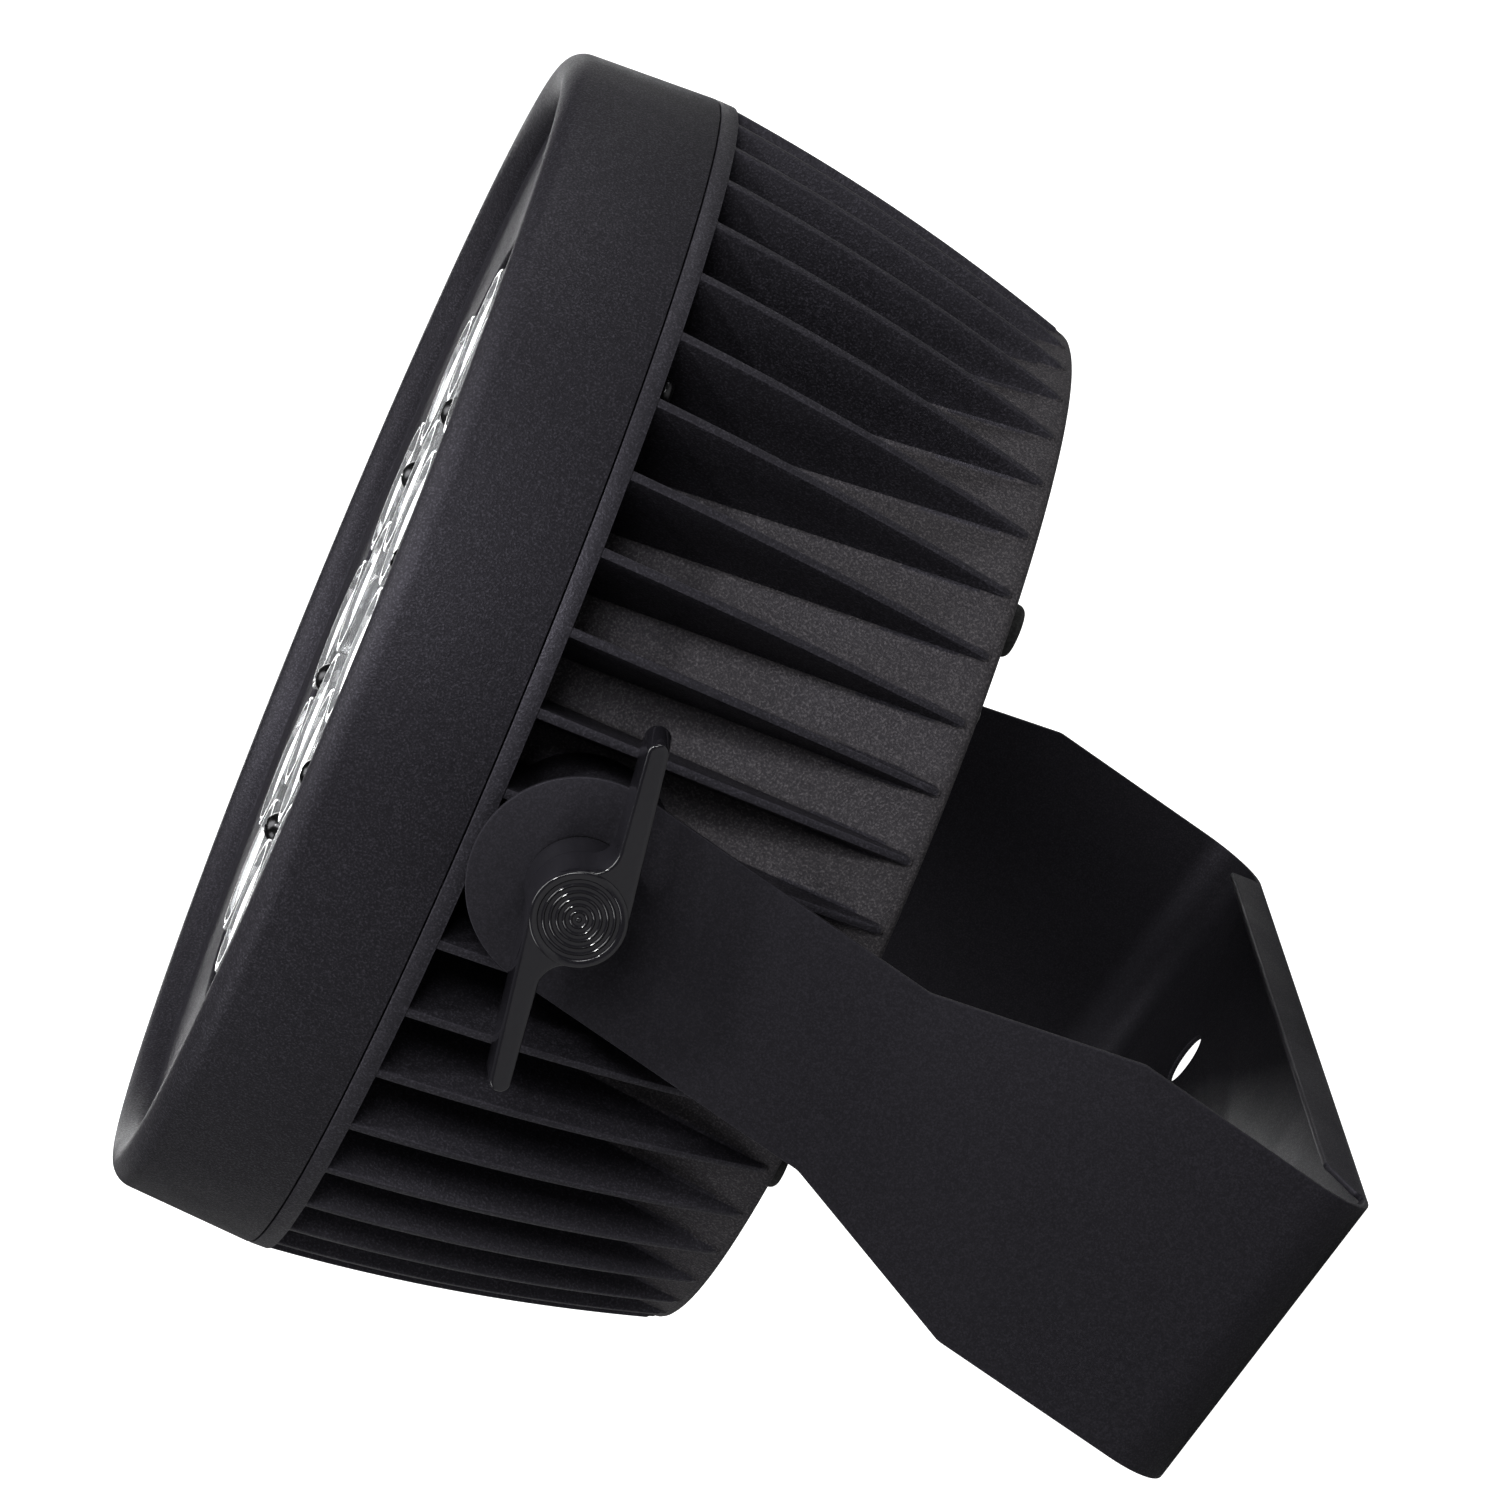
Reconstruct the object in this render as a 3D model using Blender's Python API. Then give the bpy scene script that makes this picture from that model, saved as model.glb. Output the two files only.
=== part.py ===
"""LED par can on a U yoke: a finned lamp head that tilts between two arms.

Units are metres, +Z is up and the yoke stands on its base.  X runs along the
tilt axis.  Everything in the head is modelled in the head's own frame: origin
on the tilt axis, +Z along the beam.
"""
import math

import bmesh
import bpy
from mathutils import Matrix, Vector

MM = 0.001

# ---- driving dimensions -------------------------------------------------------
GAP = 0.3 * MM                      # clearance between pieces that touch
PIVOT_HEIGHT = 159.7 * MM           # tilt axis above the underside of the base
HEAD_TILT = math.radians(12.5)      # beam leans towards -Y by this much at rest
BEAM_OFFSET = 1.9 * MM              # lamp body stands this far from the tilt axis, along its +Y
FRONT_OFFSET = 0.6 * MM             # and this far along the beam
YOKE_Y = 3.9 * MM                   # puts the whole object's box on the origin

CREST_Z = 53.6 * MM                 # front rim, seen from the tilt axis
SEAM_Z = 22.6 * MM                  # bezel meets heatsink
REAR_Z = -60.8 * MM                 # rear rim of the heatsink
FRONT_RADIUS = 122.8 * MM
SEAM_RADIUS = 124.2 * MM
REAR_RADIUS = 107.6 * MM
ENVELOPE_BULGE = 2.2 * MM           # how far the fins stand out of a straight cone

FIN_COUNT = 48
FIN_PITCH = math.tau / FIN_COUNT
RING_WIDTH = 3.7 * MM
FIN_TOP_FRONT = 2.1 * MM            # width of a fin's outer edge at the ring
FIN_TOP_REAR = 1.4 * MM
FIN_ROOT_FRONT = 4.2 * MM
FIN_ROOT_REAR = 2.0 * MM
FLOOR_RADIUS_FRONT = 98.0 * MM
FIN_END_Z = -58.5 * MM
CAVITY_RADIUS = 90.0 * MM
COVER_RADIUS = 96.0 * MM
CAVITY_TOP_Z = 15.0 * MM
LEDGE_Z = -56.0 * MM

LIP_RADIUS = 86.0 * MM              # opening of the bezel around the lens plate
LENS_PLATE_RADIUS = 94.0 * MM
LENS_TOP_Z = 49.0 * MM
LENS_RING = ((6, 30.5 * MM, 0.0), (12, 62.0 * MM, math.radians(15)))
LENS_RADIUS = 14.6 * MM
LENS_SCREW_RING = 46.5 * MM

ARM_OUTER = 128.7 * MM              # half the width over the yoke's arms
SHEET = 1.2 * MM
BASE_DEPTH = 66.2 * MM
EYE_RADIUS = 21.1 * MM
NARROW_END = 94.7 * MM              # heights where an arm starts and stops widening
WIDE_START = 53.6 * MM
BEND_RADIUS = 13.5 * MM             # outside radius of the yoke's two bends
FLANGE_HEIGHT = 9.0 * MM
HOLE_RADIUS = 5.8 * MM
SIDE_HOLE_X = 69.0 * MM
STUD_HOLE_RADIUS = 4.6 * MM

STUD_RADIUS = 4.0 * MM
BOSS_FACE = 124.9 * MM              # flat faces of the bosses on the head's sides
WASHER_RADIUS = 16.0 * MM
CLAMP_WASHER_RADIUS = 10.9 * MM
KNOB_HUB_RADIUS = 9.1 * MM
KNOB_FLANGE_RADIUS = 10.4 * MM
KNOB_FRONT = ARM_OUTER + 22.6 * MM
WING_REACH = 35.2 * MM
WING_ROOT_WIDTH = 4.6 * MM
WING_TIP_WIDTH = 3.9 * MM
WING_FILLET = 5.0 * MM
WING_ANGLE = math.radians(22.5)     # wings' direction from +Y, in the YZ plane

DISPLAY_Y = 34.0 * MM
BUTTON_Y = 13.0 * MM
BUTTON_X = (-24.0 * MM, -8.0 * MM, 8.0 * MM, 24.0 * MM)
BUTTON_RADIUS = 4.2 * MM
DATA_X = 20.0 * MM
DATA_Y = -24.0 * MM
LATCH_Y = DATA_Y + 12.4 * MM
LATCH_SLOT = (8.6 * MM, 4.2 * MM)
POWER_X = 54.0 * MM
POWER_Y = -14.0 * MM
FUSE_Y = -62.0 * MM
COVER_SCREW_RING = 92.3 * MM
FOOT_RING = 88.0 * MM
FOOT_ANGLES = (44.0, 136.0, 216.5, 323.5)
FOOT_HEIGHT = 4.6 * MM
COVER_OUT_Z = -60.6 * MM            # outside face of the rear cover
COVER_IN_Z = -57.6 * MM

COLOURS = {
    "textured_black": ((0.020, 0.020, 0.022), 0.62, 0.25),
    "yoke_black": ((0.018, 0.018, 0.021), 0.50, 0.25),
    "gloss_black": ((0.012, 0.012, 0.013), 0.16, 0.0),
    "matte_black": ((0.022, 0.022, 0.023), 0.70, 0.0),
    "rubber": ((0.015, 0.015, 0.015), 0.85, 0.0),
    "clear_lens": ((0.80, 0.82, 0.84), 0.08, 0.0),
    "board": ((0.75, 0.76, 0.74), 0.45, 0.0),
    "green_board": ((0.02, 0.16, 0.06), 0.45, 0.0),
    "steel": ((0.55, 0.55, 0.56), 0.30, 1.0),
    "screw_black": ((0.03, 0.03, 0.03), 0.28, 0.8),
    "copper": ((0.60, 0.32, 0.16), 0.40, 0.8),
    "blue_plastic": ((0.03, 0.10, 0.35), 0.40, 0.0),
    "grey_plastic": ((0.30, 0.31, 0.33), 0.45, 0.0),
}


# ---- helpers -------------------------------------------------------------------
def clear_scene():
    for obj in list(bpy.data.objects):
        bpy.data.objects.remove(obj, do_unlink=True)


def material(name):
    found = bpy.data.materials.get(name)
    if found:
        return found
    colour, roughness, metallic = COLOURS[name]
    made = bpy.data.materials.new(name)
    made.use_nodes = True
    shader = made.node_tree.nodes["Principled BSDF"]
    shader.inputs["Base Color"].default_value = (*colour, 1.0)
    shader.inputs["Roughness"].default_value = roughness
    shader.inputs["Metallic"].default_value = metallic
    return made


def add_object(name, bm, finish, parent=None, round_piece=True):
    bmesh.ops.remove_doubles(bm, verts=bm.verts, dist=1e-6)
    bmesh.ops.recalc_face_normals(bm, faces=bm.faces)
    mesh = bpy.data.meshes.new(name)
    bm.to_mesh(mesh)
    bm.free()
    obj = bpy.data.objects.new(name, mesh)
    bpy.context.scene.collection.objects.link(obj)
    obj.parent = parent
    if finish:
        mesh.materials.append(material(finish))
    if round_piece:
        mesh.shade_smooth()
        mesh.set_sharp_from_angle(angle=math.radians(30))
    return obj


def as_tool(obj):
    """Mark an object as a guide shape that isn't a piece of the lamp."""
    obj.hide_render = True
    obj.display_type = "WIRE"
    return obj


def boolean(obj, tool, operation):
    step = obj.modifiers.new(operation.lower(), "BOOLEAN")
    step.operation = operation
    step.solver = "EXACT"
    step.object = as_tool(tool)


def ring_verts(bm, radius, z, segments):
    return [bm.verts.new((radius * math.cos(math.tau * i / segments),
                          radius * math.sin(math.tau * i / segments), z))
            for i in range(segments)]


def bridge(bm, lower, upper):
    count = len(lower)
    for i in range(count):
        j = (i + 1) % count
        bm.faces.new((lower[i], lower[j], upper[j], upper[i]))


def turned(profile, segments, closed):
    """Turn (radius, z) points round Z: a closed loop makes a ring, an open
    profile gets a flat cap at each end."""
    bm = bmesh.new()
    loops = [ring_verts(bm, radius, z, segments) for radius, z in profile]
    for lower, upper in zip(loops, loops[1:]):
        bridge(bm, lower, upper)
    if closed:
        bridge(bm, loops[-1], loops[0])
    else:
        bm.faces.new(loops[0])
        bm.faces.new(loops[-1])
    return bm


def merge(bm, other, place=Matrix.Identity(4)):
    """Add a copy of one bmesh to another, moved by a matrix."""
    spare = bpy.data.meshes.new("spare")
    other.transform(place)
    other.to_mesh(spare)
    other.free()
    bm.from_mesh(spare)
    bpy.data.meshes.remove(spare)
    return bm


def at(x, y, z):
    return Matrix.Translation((x, y, z))


def polar(radius, angle, z=0.0):
    return at(radius * math.cos(angle), radius * math.sin(angle), z)


def rod(radius, low, high, segments=16):
    return turned([(radius, low), (radius, high)], segments, closed=False)


def tube(outer, inner, low, high, segments):
    return turned([(outer, low), (outer, high), (inner, high), (inner, low)],
                  segments, closed=True)


def block(x_size, y_size, low, high, bevel=0.0):
    bm = bmesh.new()
    bmesh.ops.create_cube(bm, size=1.0)
    bm.transform(at(0, 0, (low + high) / 2) @ Matrix.Diagonal((x_size, y_size, high - low, 1)))
    if bevel:
        upright = [e for e in bm.edges if abs(e.verts[0].co.z - e.verts[1].co.z) > (high - low) / 2]
        bmesh.ops.bevel(bm, geom=upright, offset=bevel, segments=3, affect="EDGES", profile=0.5)
    return bm


def extruded(outline, low, high):
    """A prism from a closed (x, y) outline."""
    bm = bmesh.new()
    bottom = [bm.verts.new((x, y, low)) for x, y in outline]
    top = [bm.verts.new((x, y, high)) for x, y in outline]
    bridge(bm, bottom, top)
    bm.faces.new(bottom)
    bm.faces.new(top)
    return bm


def arc(centre, radius, start, stop, steps):
    return [(centre[0] + radius * math.cos(start + (stop - start) * i / steps),
             centre[1] + radius * math.sin(start + (stop - start) * i / steps))
            for i in range(steps + 1)]


def pan_screw(head_radius, head_height, shank_radius, shank_length):
    """A screw standing on z = 0 with its head up and its shank down."""
    return turned([(shank_radius, -shank_length), (shank_radius, 0),
                   (head_radius, 0), (head_radius, head_height * 0.45),
                   (head_radius * 0.62, head_height)], 8, closed=False)


FLIP = Matrix.Rotation(math.pi, 4, "X")


# ---- yoke ----------------------------------------------------------------------
def arm_outline():
    """One arm, flat, as (y, z) points: eye, narrow neck, shoulders, wide foot."""
    low = SHEET
    side = BASE_DEPTH / 2
    points = [(-side, low), (-side, WIDE_START), (-EYE_RADIUS, NARROW_END)]
    points += arc((0.0, PIVOT_HEIGHT), EYE_RADIUS, math.pi, 0.0, 16)
    points += [(EYE_RADIUS, NARROW_END), (side, WIDE_START), (side, low)]
    return points


def make_yoke():
    """A strip of sheet bent into a U, with turned-up edges along its base."""
    steps = 6
    outer = ([(-ARM_OUTER, WIDE_START)]
             + arc((-ARM_OUTER + BEND_RADIUS, BEND_RADIUS), BEND_RADIUS, math.pi, 1.5 * math.pi, steps)
             + arc((ARM_OUTER - BEND_RADIUS, BEND_RADIUS), BEND_RADIUS, 1.5 * math.pi, math.tau, steps)
             + [(ARM_OUTER, WIDE_START)])
    reach = BEND_RADIUS - SHEET
    inner = ([(-ARM_OUTER + SHEET, WIDE_START)]
             + arc((-ARM_OUTER + BEND_RADIUS, BEND_RADIUS), reach, math.pi, 1.5 * math.pi, steps)
             + arc((ARM_OUTER - BEND_RADIUS, BEND_RADIUS), reach, 1.5 * math.pi, math.tau, steps)
             + [(ARM_OUTER - SHEET, WIDE_START)])
    side = BASE_DEPTH / 2
    bm = bmesh.new()
    rows = [[bm.verts.new((x, y, z)) for x, z in line]
            for line, y in ((outer, -side), (outer, side), (inner, side), (inner, -side))]
    for row, following in zip(rows, rows[1:] + rows[:1]):
        for i in range(len(outer) - 1):
            bm.faces.new((row[i], row[i + 1], following[i + 1], following[i]))
    for end, sign in ((0, -1), (-1, 1)):
        near = [row[end] for row in rows]
        outline = [(y, z) for y, z in arm_outline() if z > WIDE_START + 1e-6]
        outside = [near[0]] + [bm.verts.new((sign * ARM_OUTER, y, z)) for y, z in outline] + [near[1]]
        inside = ([near[3]]
                  + [bm.verts.new((sign * (ARM_OUTER - SHEET), y, z)) for y, z in outline]
                  + [near[2]])
        bm.faces.new(outside)
        bm.faces.new(inside)
        for i in range(len(outside) - 1):
            bm.faces.new((outside[i], outside[i + 1], inside[i + 1], inside[i]))
    yoke = add_object("yoke", bm, "yoke_black")

    lip_start = ARM_OUTER - BEND_RADIUS - 2 * MM
    chamfer = 7.0 * MM
    lips = bmesh.new()
    for sign in (-1, 1):
        lip = bmesh.new()
        outline = [(-lip_start, 0.5 * MM), (lip_start, 0.5 * MM), (lip_start, 2.6 * MM),
                   (lip_start - chamfer, FLANGE_HEIGHT), (-lip_start + chamfer, FLANGE_HEIGHT),
                   (-lip_start, 2.6 * MM)]
        faces = [[lip.verts.new((x, sign * y, z)) for x, z in outline]
                 for y in (side - SHEET, side)]
        bridge(lip, *faces)
        lip.faces.new(faces[0])
        lip.faces.new(faces[1])
        merge(lips, lip)
    boolean(yoke, add_object("yoke_lips", lips, None), "UNION")

    holes = bmesh.new()
    for x in (-SIDE_HOLE_X, 0.0, SIDE_HOLE_X):
        merge(holes, rod(HOLE_RADIUS, -5 * MM, 7 * MM, 20), at(x, 0, 0))
    across = at(0, 0, PIVOT_HEIGHT) @ Matrix.Rotation(math.pi / 2, 4, "Y")
    merge(holes, rod(STUD_HOLE_RADIUS, -ARM_OUTER - 5 * MM, ARM_OUTER + 5 * MM, 20), across)
    tools = add_object("yoke_holes", holes, None)
    boolean(yoke, tools, "DIFFERENCE")
    for obj in (yoke, tools, bpy.data.objects["yoke_lips"]):
        obj.location.y = YOKE_Y
    return yoke


# ---- head shell ----------------------------------------------------------------
def envelope(z):
    """Radius over the fins: a shallow curve from the seam to the rear rim."""
    t = (SEAM_Z - z) / (SEAM_Z - REAR_Z)
    return SEAM_RADIUS + (REAR_RADIUS - SEAM_RADIUS) * t + 4 * ENVELOPE_BULGE * t * (1 - t)


def mix(a, b, t):
    return a + (b - a) * t


def fin_ring(bm, z, floor_radius, top_width, root_width):
    """One cross-section of the finned wall, four points to a fin."""
    loop = []
    top = envelope(z)
    for i in range(FIN_COUNT):
        middle = (i + 0.5) * FIN_PITCH
        for radius, width, side in ((floor_radius, root_width, -1), (top, top_width, -1),
                                    (top, top_width, 1), (floor_radius, root_width, 1)):
            angle = middle + side * width / 2 / radius
            loop.append(bm.verts.new((radius * math.cos(angle), radius * math.sin(angle), z)))
    return loop


def plain_ring(bm, z, radius, top_width=FIN_TOP_FRONT, root_width=FIN_ROOT_FRONT):
    """A plain circle whose points line up with the fins' points."""
    loop = []
    for i in range(FIN_COUNT):
        middle = (i + 0.5) * FIN_PITCH
        for width, side in ((root_width, -1), (top_width, -1), (top_width, 1), (root_width, 1)):
            angle = middle + side * width / 2 / FLOOR_RADIUS_FRONT
            loop.append(bm.verts.new((radius * math.cos(angle), radius * math.sin(angle), z)))
    return loop


def fan_in(bm, fine, coarse):
    """Join a circle of four points to a fin to one with a single point to a fin."""
    for i, inner in enumerate(coarse):
        following = coarse[(i + 1) % FIN_COUNT]
        quad = fine[4 * i:4 * i + 4]
        for a, b in zip(quad, quad[1:]):
            bm.faces.new((a, b, inner))
        bm.faces.new((quad[3], fine[(4 * i + 4) % len(fine)], following, inner))


def make_heatsink(head, shell):
    """Cast cup: solid front plate, fins all round, open at the rear."""
    bm = bmesh.new()
    ring_rear = SEAM_Z - GAP - RING_WIDTH
    rim = 1.5 * MM
    loops = [plain_ring(bm, SEAM_Z - GAP, SEAM_RADIUS),
             plain_ring(bm, ring_rear, SEAM_RADIUS)]
    start = ring_rear - 0.4 * MM
    floor_end = envelope(FIN_END_Z) - 0.4 * MM
    stations = 2
    for k in range(stations + 1):
        t = k / stations
        z = mix(start, FIN_END_Z + 1.0 * MM, t)
        loops.append(fin_ring(bm, z, mix(FLOOR_RADIUS_FRONT, floor_end, t),
                              mix(FIN_TOP_FRONT, FIN_TOP_REAR, t), mix(FIN_ROOT_FRONT, FIN_ROOT_REAR, t)))
    loops.append(fin_ring(bm, FIN_END_Z, envelope(FIN_END_Z), FIN_TOP_REAR, FIN_ROOT_REAR))
    loops.append(plain_ring(bm, REAR_Z + rim, envelope(REAR_Z + rim), FIN_TOP_REAR, FIN_ROOT_REAR))
    loops.append(plain_ring(bm, REAR_Z, envelope(REAR_Z) - rim * 0.7, FIN_TOP_REAR, FIN_ROOT_REAR))
    inner = [ring_verts(bm, radius, z, FIN_COUNT)
             for radius, z in ((COVER_RADIUS + GAP, REAR_Z), (COVER_RADIUS + GAP, LEDGE_Z),
                               (CAVITY_RADIUS, LEDGE_Z), (CAVITY_RADIUS, CAVITY_TOP_Z))]
    for row, following in list(zip(loops, loops[1:])) + list(zip(inner, inner[1:])):
        bridge(bm, row, following)
    fan_in(bm, loops[-1], [inner[0][(i + 1) % FIN_COUNT] for i in range(FIN_COUNT)])
    bm.faces.new(loops[0])
    bm.faces.new(inner[-1])
    heatsink = add_object("heatsink", bm, "textured_black", shell)

    bosses = bmesh.new()
    across = Matrix.Rotation(math.pi / 2, 4, "Y")
    for sign in (-1, 1):
        boss = turned([(18.5 * MM, 92 * MM), (17 * MM, BOSS_FACE - 0.6 * MM), (16.4 * MM, BOSS_FACE)],
                      20, closed=False)
        merge(bosses, boss, across if sign > 0 else Matrix.Rotation(-math.pi / 2, 4, "Y"))
    boolean(heatsink, add_object("boss_shapes", bosses, None, head), "UNION")

    bores = bmesh.new()
    for sign in (-1, 1):
        turn = Matrix.Rotation(sign * math.pi / 2, 4, "Y")
        merge(bores, rod(STUD_RADIUS + GAP, BOSS_FACE - 22 * MM, BOSS_FACE + 5 * MM, 16), turn)
    boolean(heatsink, add_object("stud_bores", bores, None, head), "DIFFERENCE")

    holes = bmesh.new()
    for i in range(6):
        angle = math.radians(60 * i + 30)
        merge(holes, rod(1.8 * MM, SEAM_Z - 9 * MM, SEAM_Z + 5 * MM, 8), polar(LENS_SCREW_RING, angle))
        merge(holes, rod(1.8 * MM, LEDGE_Z - 5 * MM, LEDGE_Z + 8 * MM, 8), polar(COVER_SCREW_RING, angle))
    for i in range(4):
        angle = math.radians(90 * i + 45)
        merge(holes, rod(2.1 * MM, ring_rear - 2 * MM, SEAM_Z + 5 * MM, 8), polar(115 * MM, angle))
    boolean(heatsink, add_object("heatsink_holes", holes, None, shell), "DIFFERENCE")
    return heatsink


def make_bezel(shell):
    """Deep front ring with a rounded nose and an inward lip over the lens plate."""
    nose = 5.0 * MM
    wall = 3.4 * MM
    profile = [(SEAM_RADIUS, SEAM_Z), (SEAM_RADIUS, SEAM_Z + 0.6 * MM),
               (FRONT_RADIUS, CREST_Z - nose)]
    profile += arc((FRONT_RADIUS - nose, CREST_Z - nose), nose, math.radians(20), math.radians(160), 4)
    inner = FRONT_RADIUS - 2 * nose
    profile += [(inner, CREST_Z - 4.6 * MM), (LIP_RADIUS + 1 * MM, CREST_Z - 5.6 * MM),
                (LIP_RADIUS, CREST_Z - 6.4 * MM), (LIP_RADIUS, CREST_Z - 8.2 * MM),
                (inner - 1 * MM, CREST_Z - 8.2 * MM), (FRONT_RADIUS - wall, CREST_Z - 12 * MM),
                (SEAM_RADIUS - wall, SEAM_Z + 4 * MM), (109 * MM, SEAM_Z + 2 * MM), (109 * MM, SEAM_Z)]
    bezel = add_object("front_bezel", turned(profile, 60, closed=True), "textured_black", shell)
    holes = bmesh.new()
    for i in range(4):
        angle = math.radians(90 * i + 45)
        merge(holes, rod(2.1 * MM, SEAM_Z - 5 * MM, SEAM_Z + 9 * MM, 8), polar(115 * MM, angle))
    boolean(bezel, add_object("bezel_holes", holes, None, shell), "DIFFERENCE")
    return bezel


def lens_places():
    for count, radius, first in LENS_RING:
        for i in range(count):
            yield polar(radius, first + math.tau * i / count)


def make_optics(shell):
    """Lens plate moulded in one piece, its seal, and the board behind it."""
    plate_top = CREST_Z - 8.5 * MM
    plate_low = plate_top - 2.5 * MM
    plate = add_object("lens_plate", rod(LENS_PLATE_RADIUS, plate_low, plate_top, 36), "clear_lens", shell)
    drums = bmesh.new()
    for place in lens_places():
        drum = turned([(5.0 * MM, 28.4 * MM), (12.2 * MM, plate_low - 1.0 * MM),
                       (LENS_RADIUS, plate_low + 1.0 * MM), (LENS_RADIUS, LENS_TOP_Z)], 12, closed=False)
        merge(drums, drum, place)
    boolean(plate, add_object("lens_drums", drums, None, shell), "UNION")
    holes = bmesh.new()
    for i in range(6):
        merge(holes, rod(2.1 * MM, plate_low - 5 * MM, LENS_TOP_Z + 5 * MM, 8),
              polar(LENS_SCREW_RING, math.radians(60 * i + 30)))
    boolean(plate, add_object("plate_holes", holes, None, shell), "DIFFERENCE")

    add_object("lens_plate_seal", tube(93 * MM, 87.5 * MM, plate_low - 2.8 * MM, plate_low - GAP, 36),
               "rubber", shell)
    add_object("lens_carrier", tube(99 * MM, 87.5 * MM, SEAM_Z, plate_low - 3.1 * MM, 36),
               "matte_black", shell)

    board = add_object("led_board", rod(86 * MM, SEAM_Z + 1.0 * MM, SEAM_Z + 2.6 * MM, 36), "board", shell)
    chips = bmesh.new()
    for place in lens_places():
        merge(chips, block(6 * MM, 6 * MM, SEAM_Z + 1.6 * MM, SEAM_Z + 4.4 * MM), place)
    boolean(board, add_object("led_chips", chips, None, shell), "UNION")
    board_holes = bmesh.new()
    for i in range(6):
        merge(board_holes, rod(2.1 * MM, SEAM_Z - 5 * MM, SEAM_Z + 9 * MM, 8),
              polar(LENS_SCREW_RING, math.radians(60 * i + 30)))
    board_tools = add_object("board_holes", board_holes, None, shell)
    boolean(board, board_tools, "DIFFERENCE")
    pad = add_object("thermal_pad", rod(85 * MM, SEAM_Z, SEAM_Z + 0.7 * MM, 36), "grey_plastic", shell)
    boolean(pad, board_tools, "DIFFERENCE")

    shank = plate_top + GAP - (SEAM_Z - 8 * MM)
    for i in range(6):
        screw = add_object(f"lens_screw_{i + 1}", pan_screw(3.4 * MM, 4.6 * MM, 1.5 * MM, shank),
                           "screw_black", shell)
        angle = math.radians(60 * i + 30)
        screw.location = Vector((LENS_SCREW_RING * math.cos(angle), LENS_SCREW_RING * math.sin(angle),
                                 plate_top + GAP))
    ring_rear = SEAM_Z - GAP - RING_WIDTH
    for i in range(4):
        angle = math.radians(90 * i + 45)
        screw = add_object(f"bezel_screw_{i + 1}", pan_screw(3.2 * MM, 2.2 * MM, 1.7 * MM, 10.0 * MM),
                           "screw_black", shell)
        screw.matrix_basis = polar(115 * MM, angle, ring_rear - GAP - 0.4 * MM) @ FLIP


# ---- rear of the head ------------------------------------------------------------
def make_rear_cover(shell):
    cover = add_object("rear_cover", rod(COVER_RADIUS, COVER_OUT_Z, COVER_IN_Z, 48), "matte_black", shell)
    cuts = bmesh.new()
    low = COVER_OUT_Z - 5 * MM
    high = COVER_IN_Z + 5 * MM
    merge(cuts, block(52.6 * MM, 20.6 * MM, low, high), at(0, DISPLAY_Y, 0))
    for x in BUTTON_X:
        merge(cuts, rod(BUTTON_RADIUS + GAP, low, high, 16), at(x, BUTTON_Y, 0))
    for side in (-1, 1):
        merge(cuts, rod(12.0 * MM, low, high, 24), at(side * DATA_X, DATA_Y, 0))
        merge(cuts, rod(12.5 * MM, low, high, 24), at(side * POWER_X, POWER_Y, 0))
    merge(cuts, rod(7.5 * MM, low, high, 16), at(0, FUSE_Y, 0))
    for i in range(6):
        merge(cuts, rod(1.9 * MM, low, high, 8), polar(COVER_SCREW_RING, math.radians(60 * i + 30)))
    boolean(cover, add_object("cover_cuts", cuts, None, shell), "DIFFERENCE")
    notch = add_object("cover_notch", block(*LATCH_SLOT, low, high), None, shell, False)
    notch.location = (DATA_X, LATCH_Y, 0)
    boolean(cover, notch, "DIFFERENCE")

    add_object("rear_cover_seal", tube(COVER_RADIUS - 0.1 * MM, COVER_SCREW_RING + 1.9 * MM,
                                       COVER_IN_Z + GAP, LEDGE_Z - GAP, 36),
               "rubber", shell)
    for i in range(6):
        angle = math.radians(60 * i + 30)
        screw = add_object(f"cover_screw_{i + 1}", pan_screw(3.0 * MM, 2.0 * MM, 1.5 * MM, 9.0 * MM),
                           "screw_black", shell)
        screw.matrix_basis = polar(COVER_SCREW_RING, angle, COVER_OUT_Z - GAP) @ FLIP
    for i, angle in enumerate(FOOT_ANGLES):
        face = COVER_OUT_Z - GAP
        foot = turned([(5.6 * MM, face), (5.8 * MM, face - 1.6 * MM),
                       (4.9 * MM, face - 3.6 * MM), (2.6 * MM, face - FOOT_HEIGHT)], 12, closed=False)
        foot.transform(polar(FOOT_RING, math.radians(angle)))
        add_object(f"rear_foot_{i + 1}", foot, "rubber", shell)
    return cover


def make_controls(shell):
    """Display, its window, the menu buttons and the board they press on."""
    window = block(52 * MM, 20 * MM, COVER_OUT_Z - 0.4 * MM, COVER_IN_Z)
    add_object("display_window", window, "gloss_black", shell, False).location.y = DISPLAY_Y
    display = block(48 * MM, 18 * MM, COVER_IN_Z + GAP, COVER_IN_Z + 6.4 * MM)
    add_object("display_module", display, "grey_plastic", shell, False).location.y = DISPLAY_Y
    board = block(70 * MM, 52 * MM, COVER_IN_Z + 6.7 * MM, COVER_IN_Z + 8.3 * MM)
    add_object("control_board", board, "green_board", shell, False).location.y = 26 * MM
    for i, x in enumerate(BUTTON_X):
        face = COVER_OUT_Z - 2.2 * MM
        cap = turned([(BUTTON_RADIUS - 0.5 * MM, face), (BUTTON_RADIUS, face + 0.5 * MM),
                      (BUTTON_RADIUS, COVER_IN_Z + GAP), (BUTTON_RADIUS + 1.2 * MM, COVER_IN_Z + GAP),
                      (BUTTON_RADIUS + 1.2 * MM, COVER_IN_Z + 1.5 * MM),
                      (2.0 * MM, COVER_IN_Z + 1.5 * MM), (2.0 * MM, COVER_IN_Z + 5.4 * MM)],
                     12, closed=False)
        button = add_object(f"menu_button_{i + 1}", cap, "matte_black", shell)
        button.location = (x, BUTTON_Y, 0)


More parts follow.
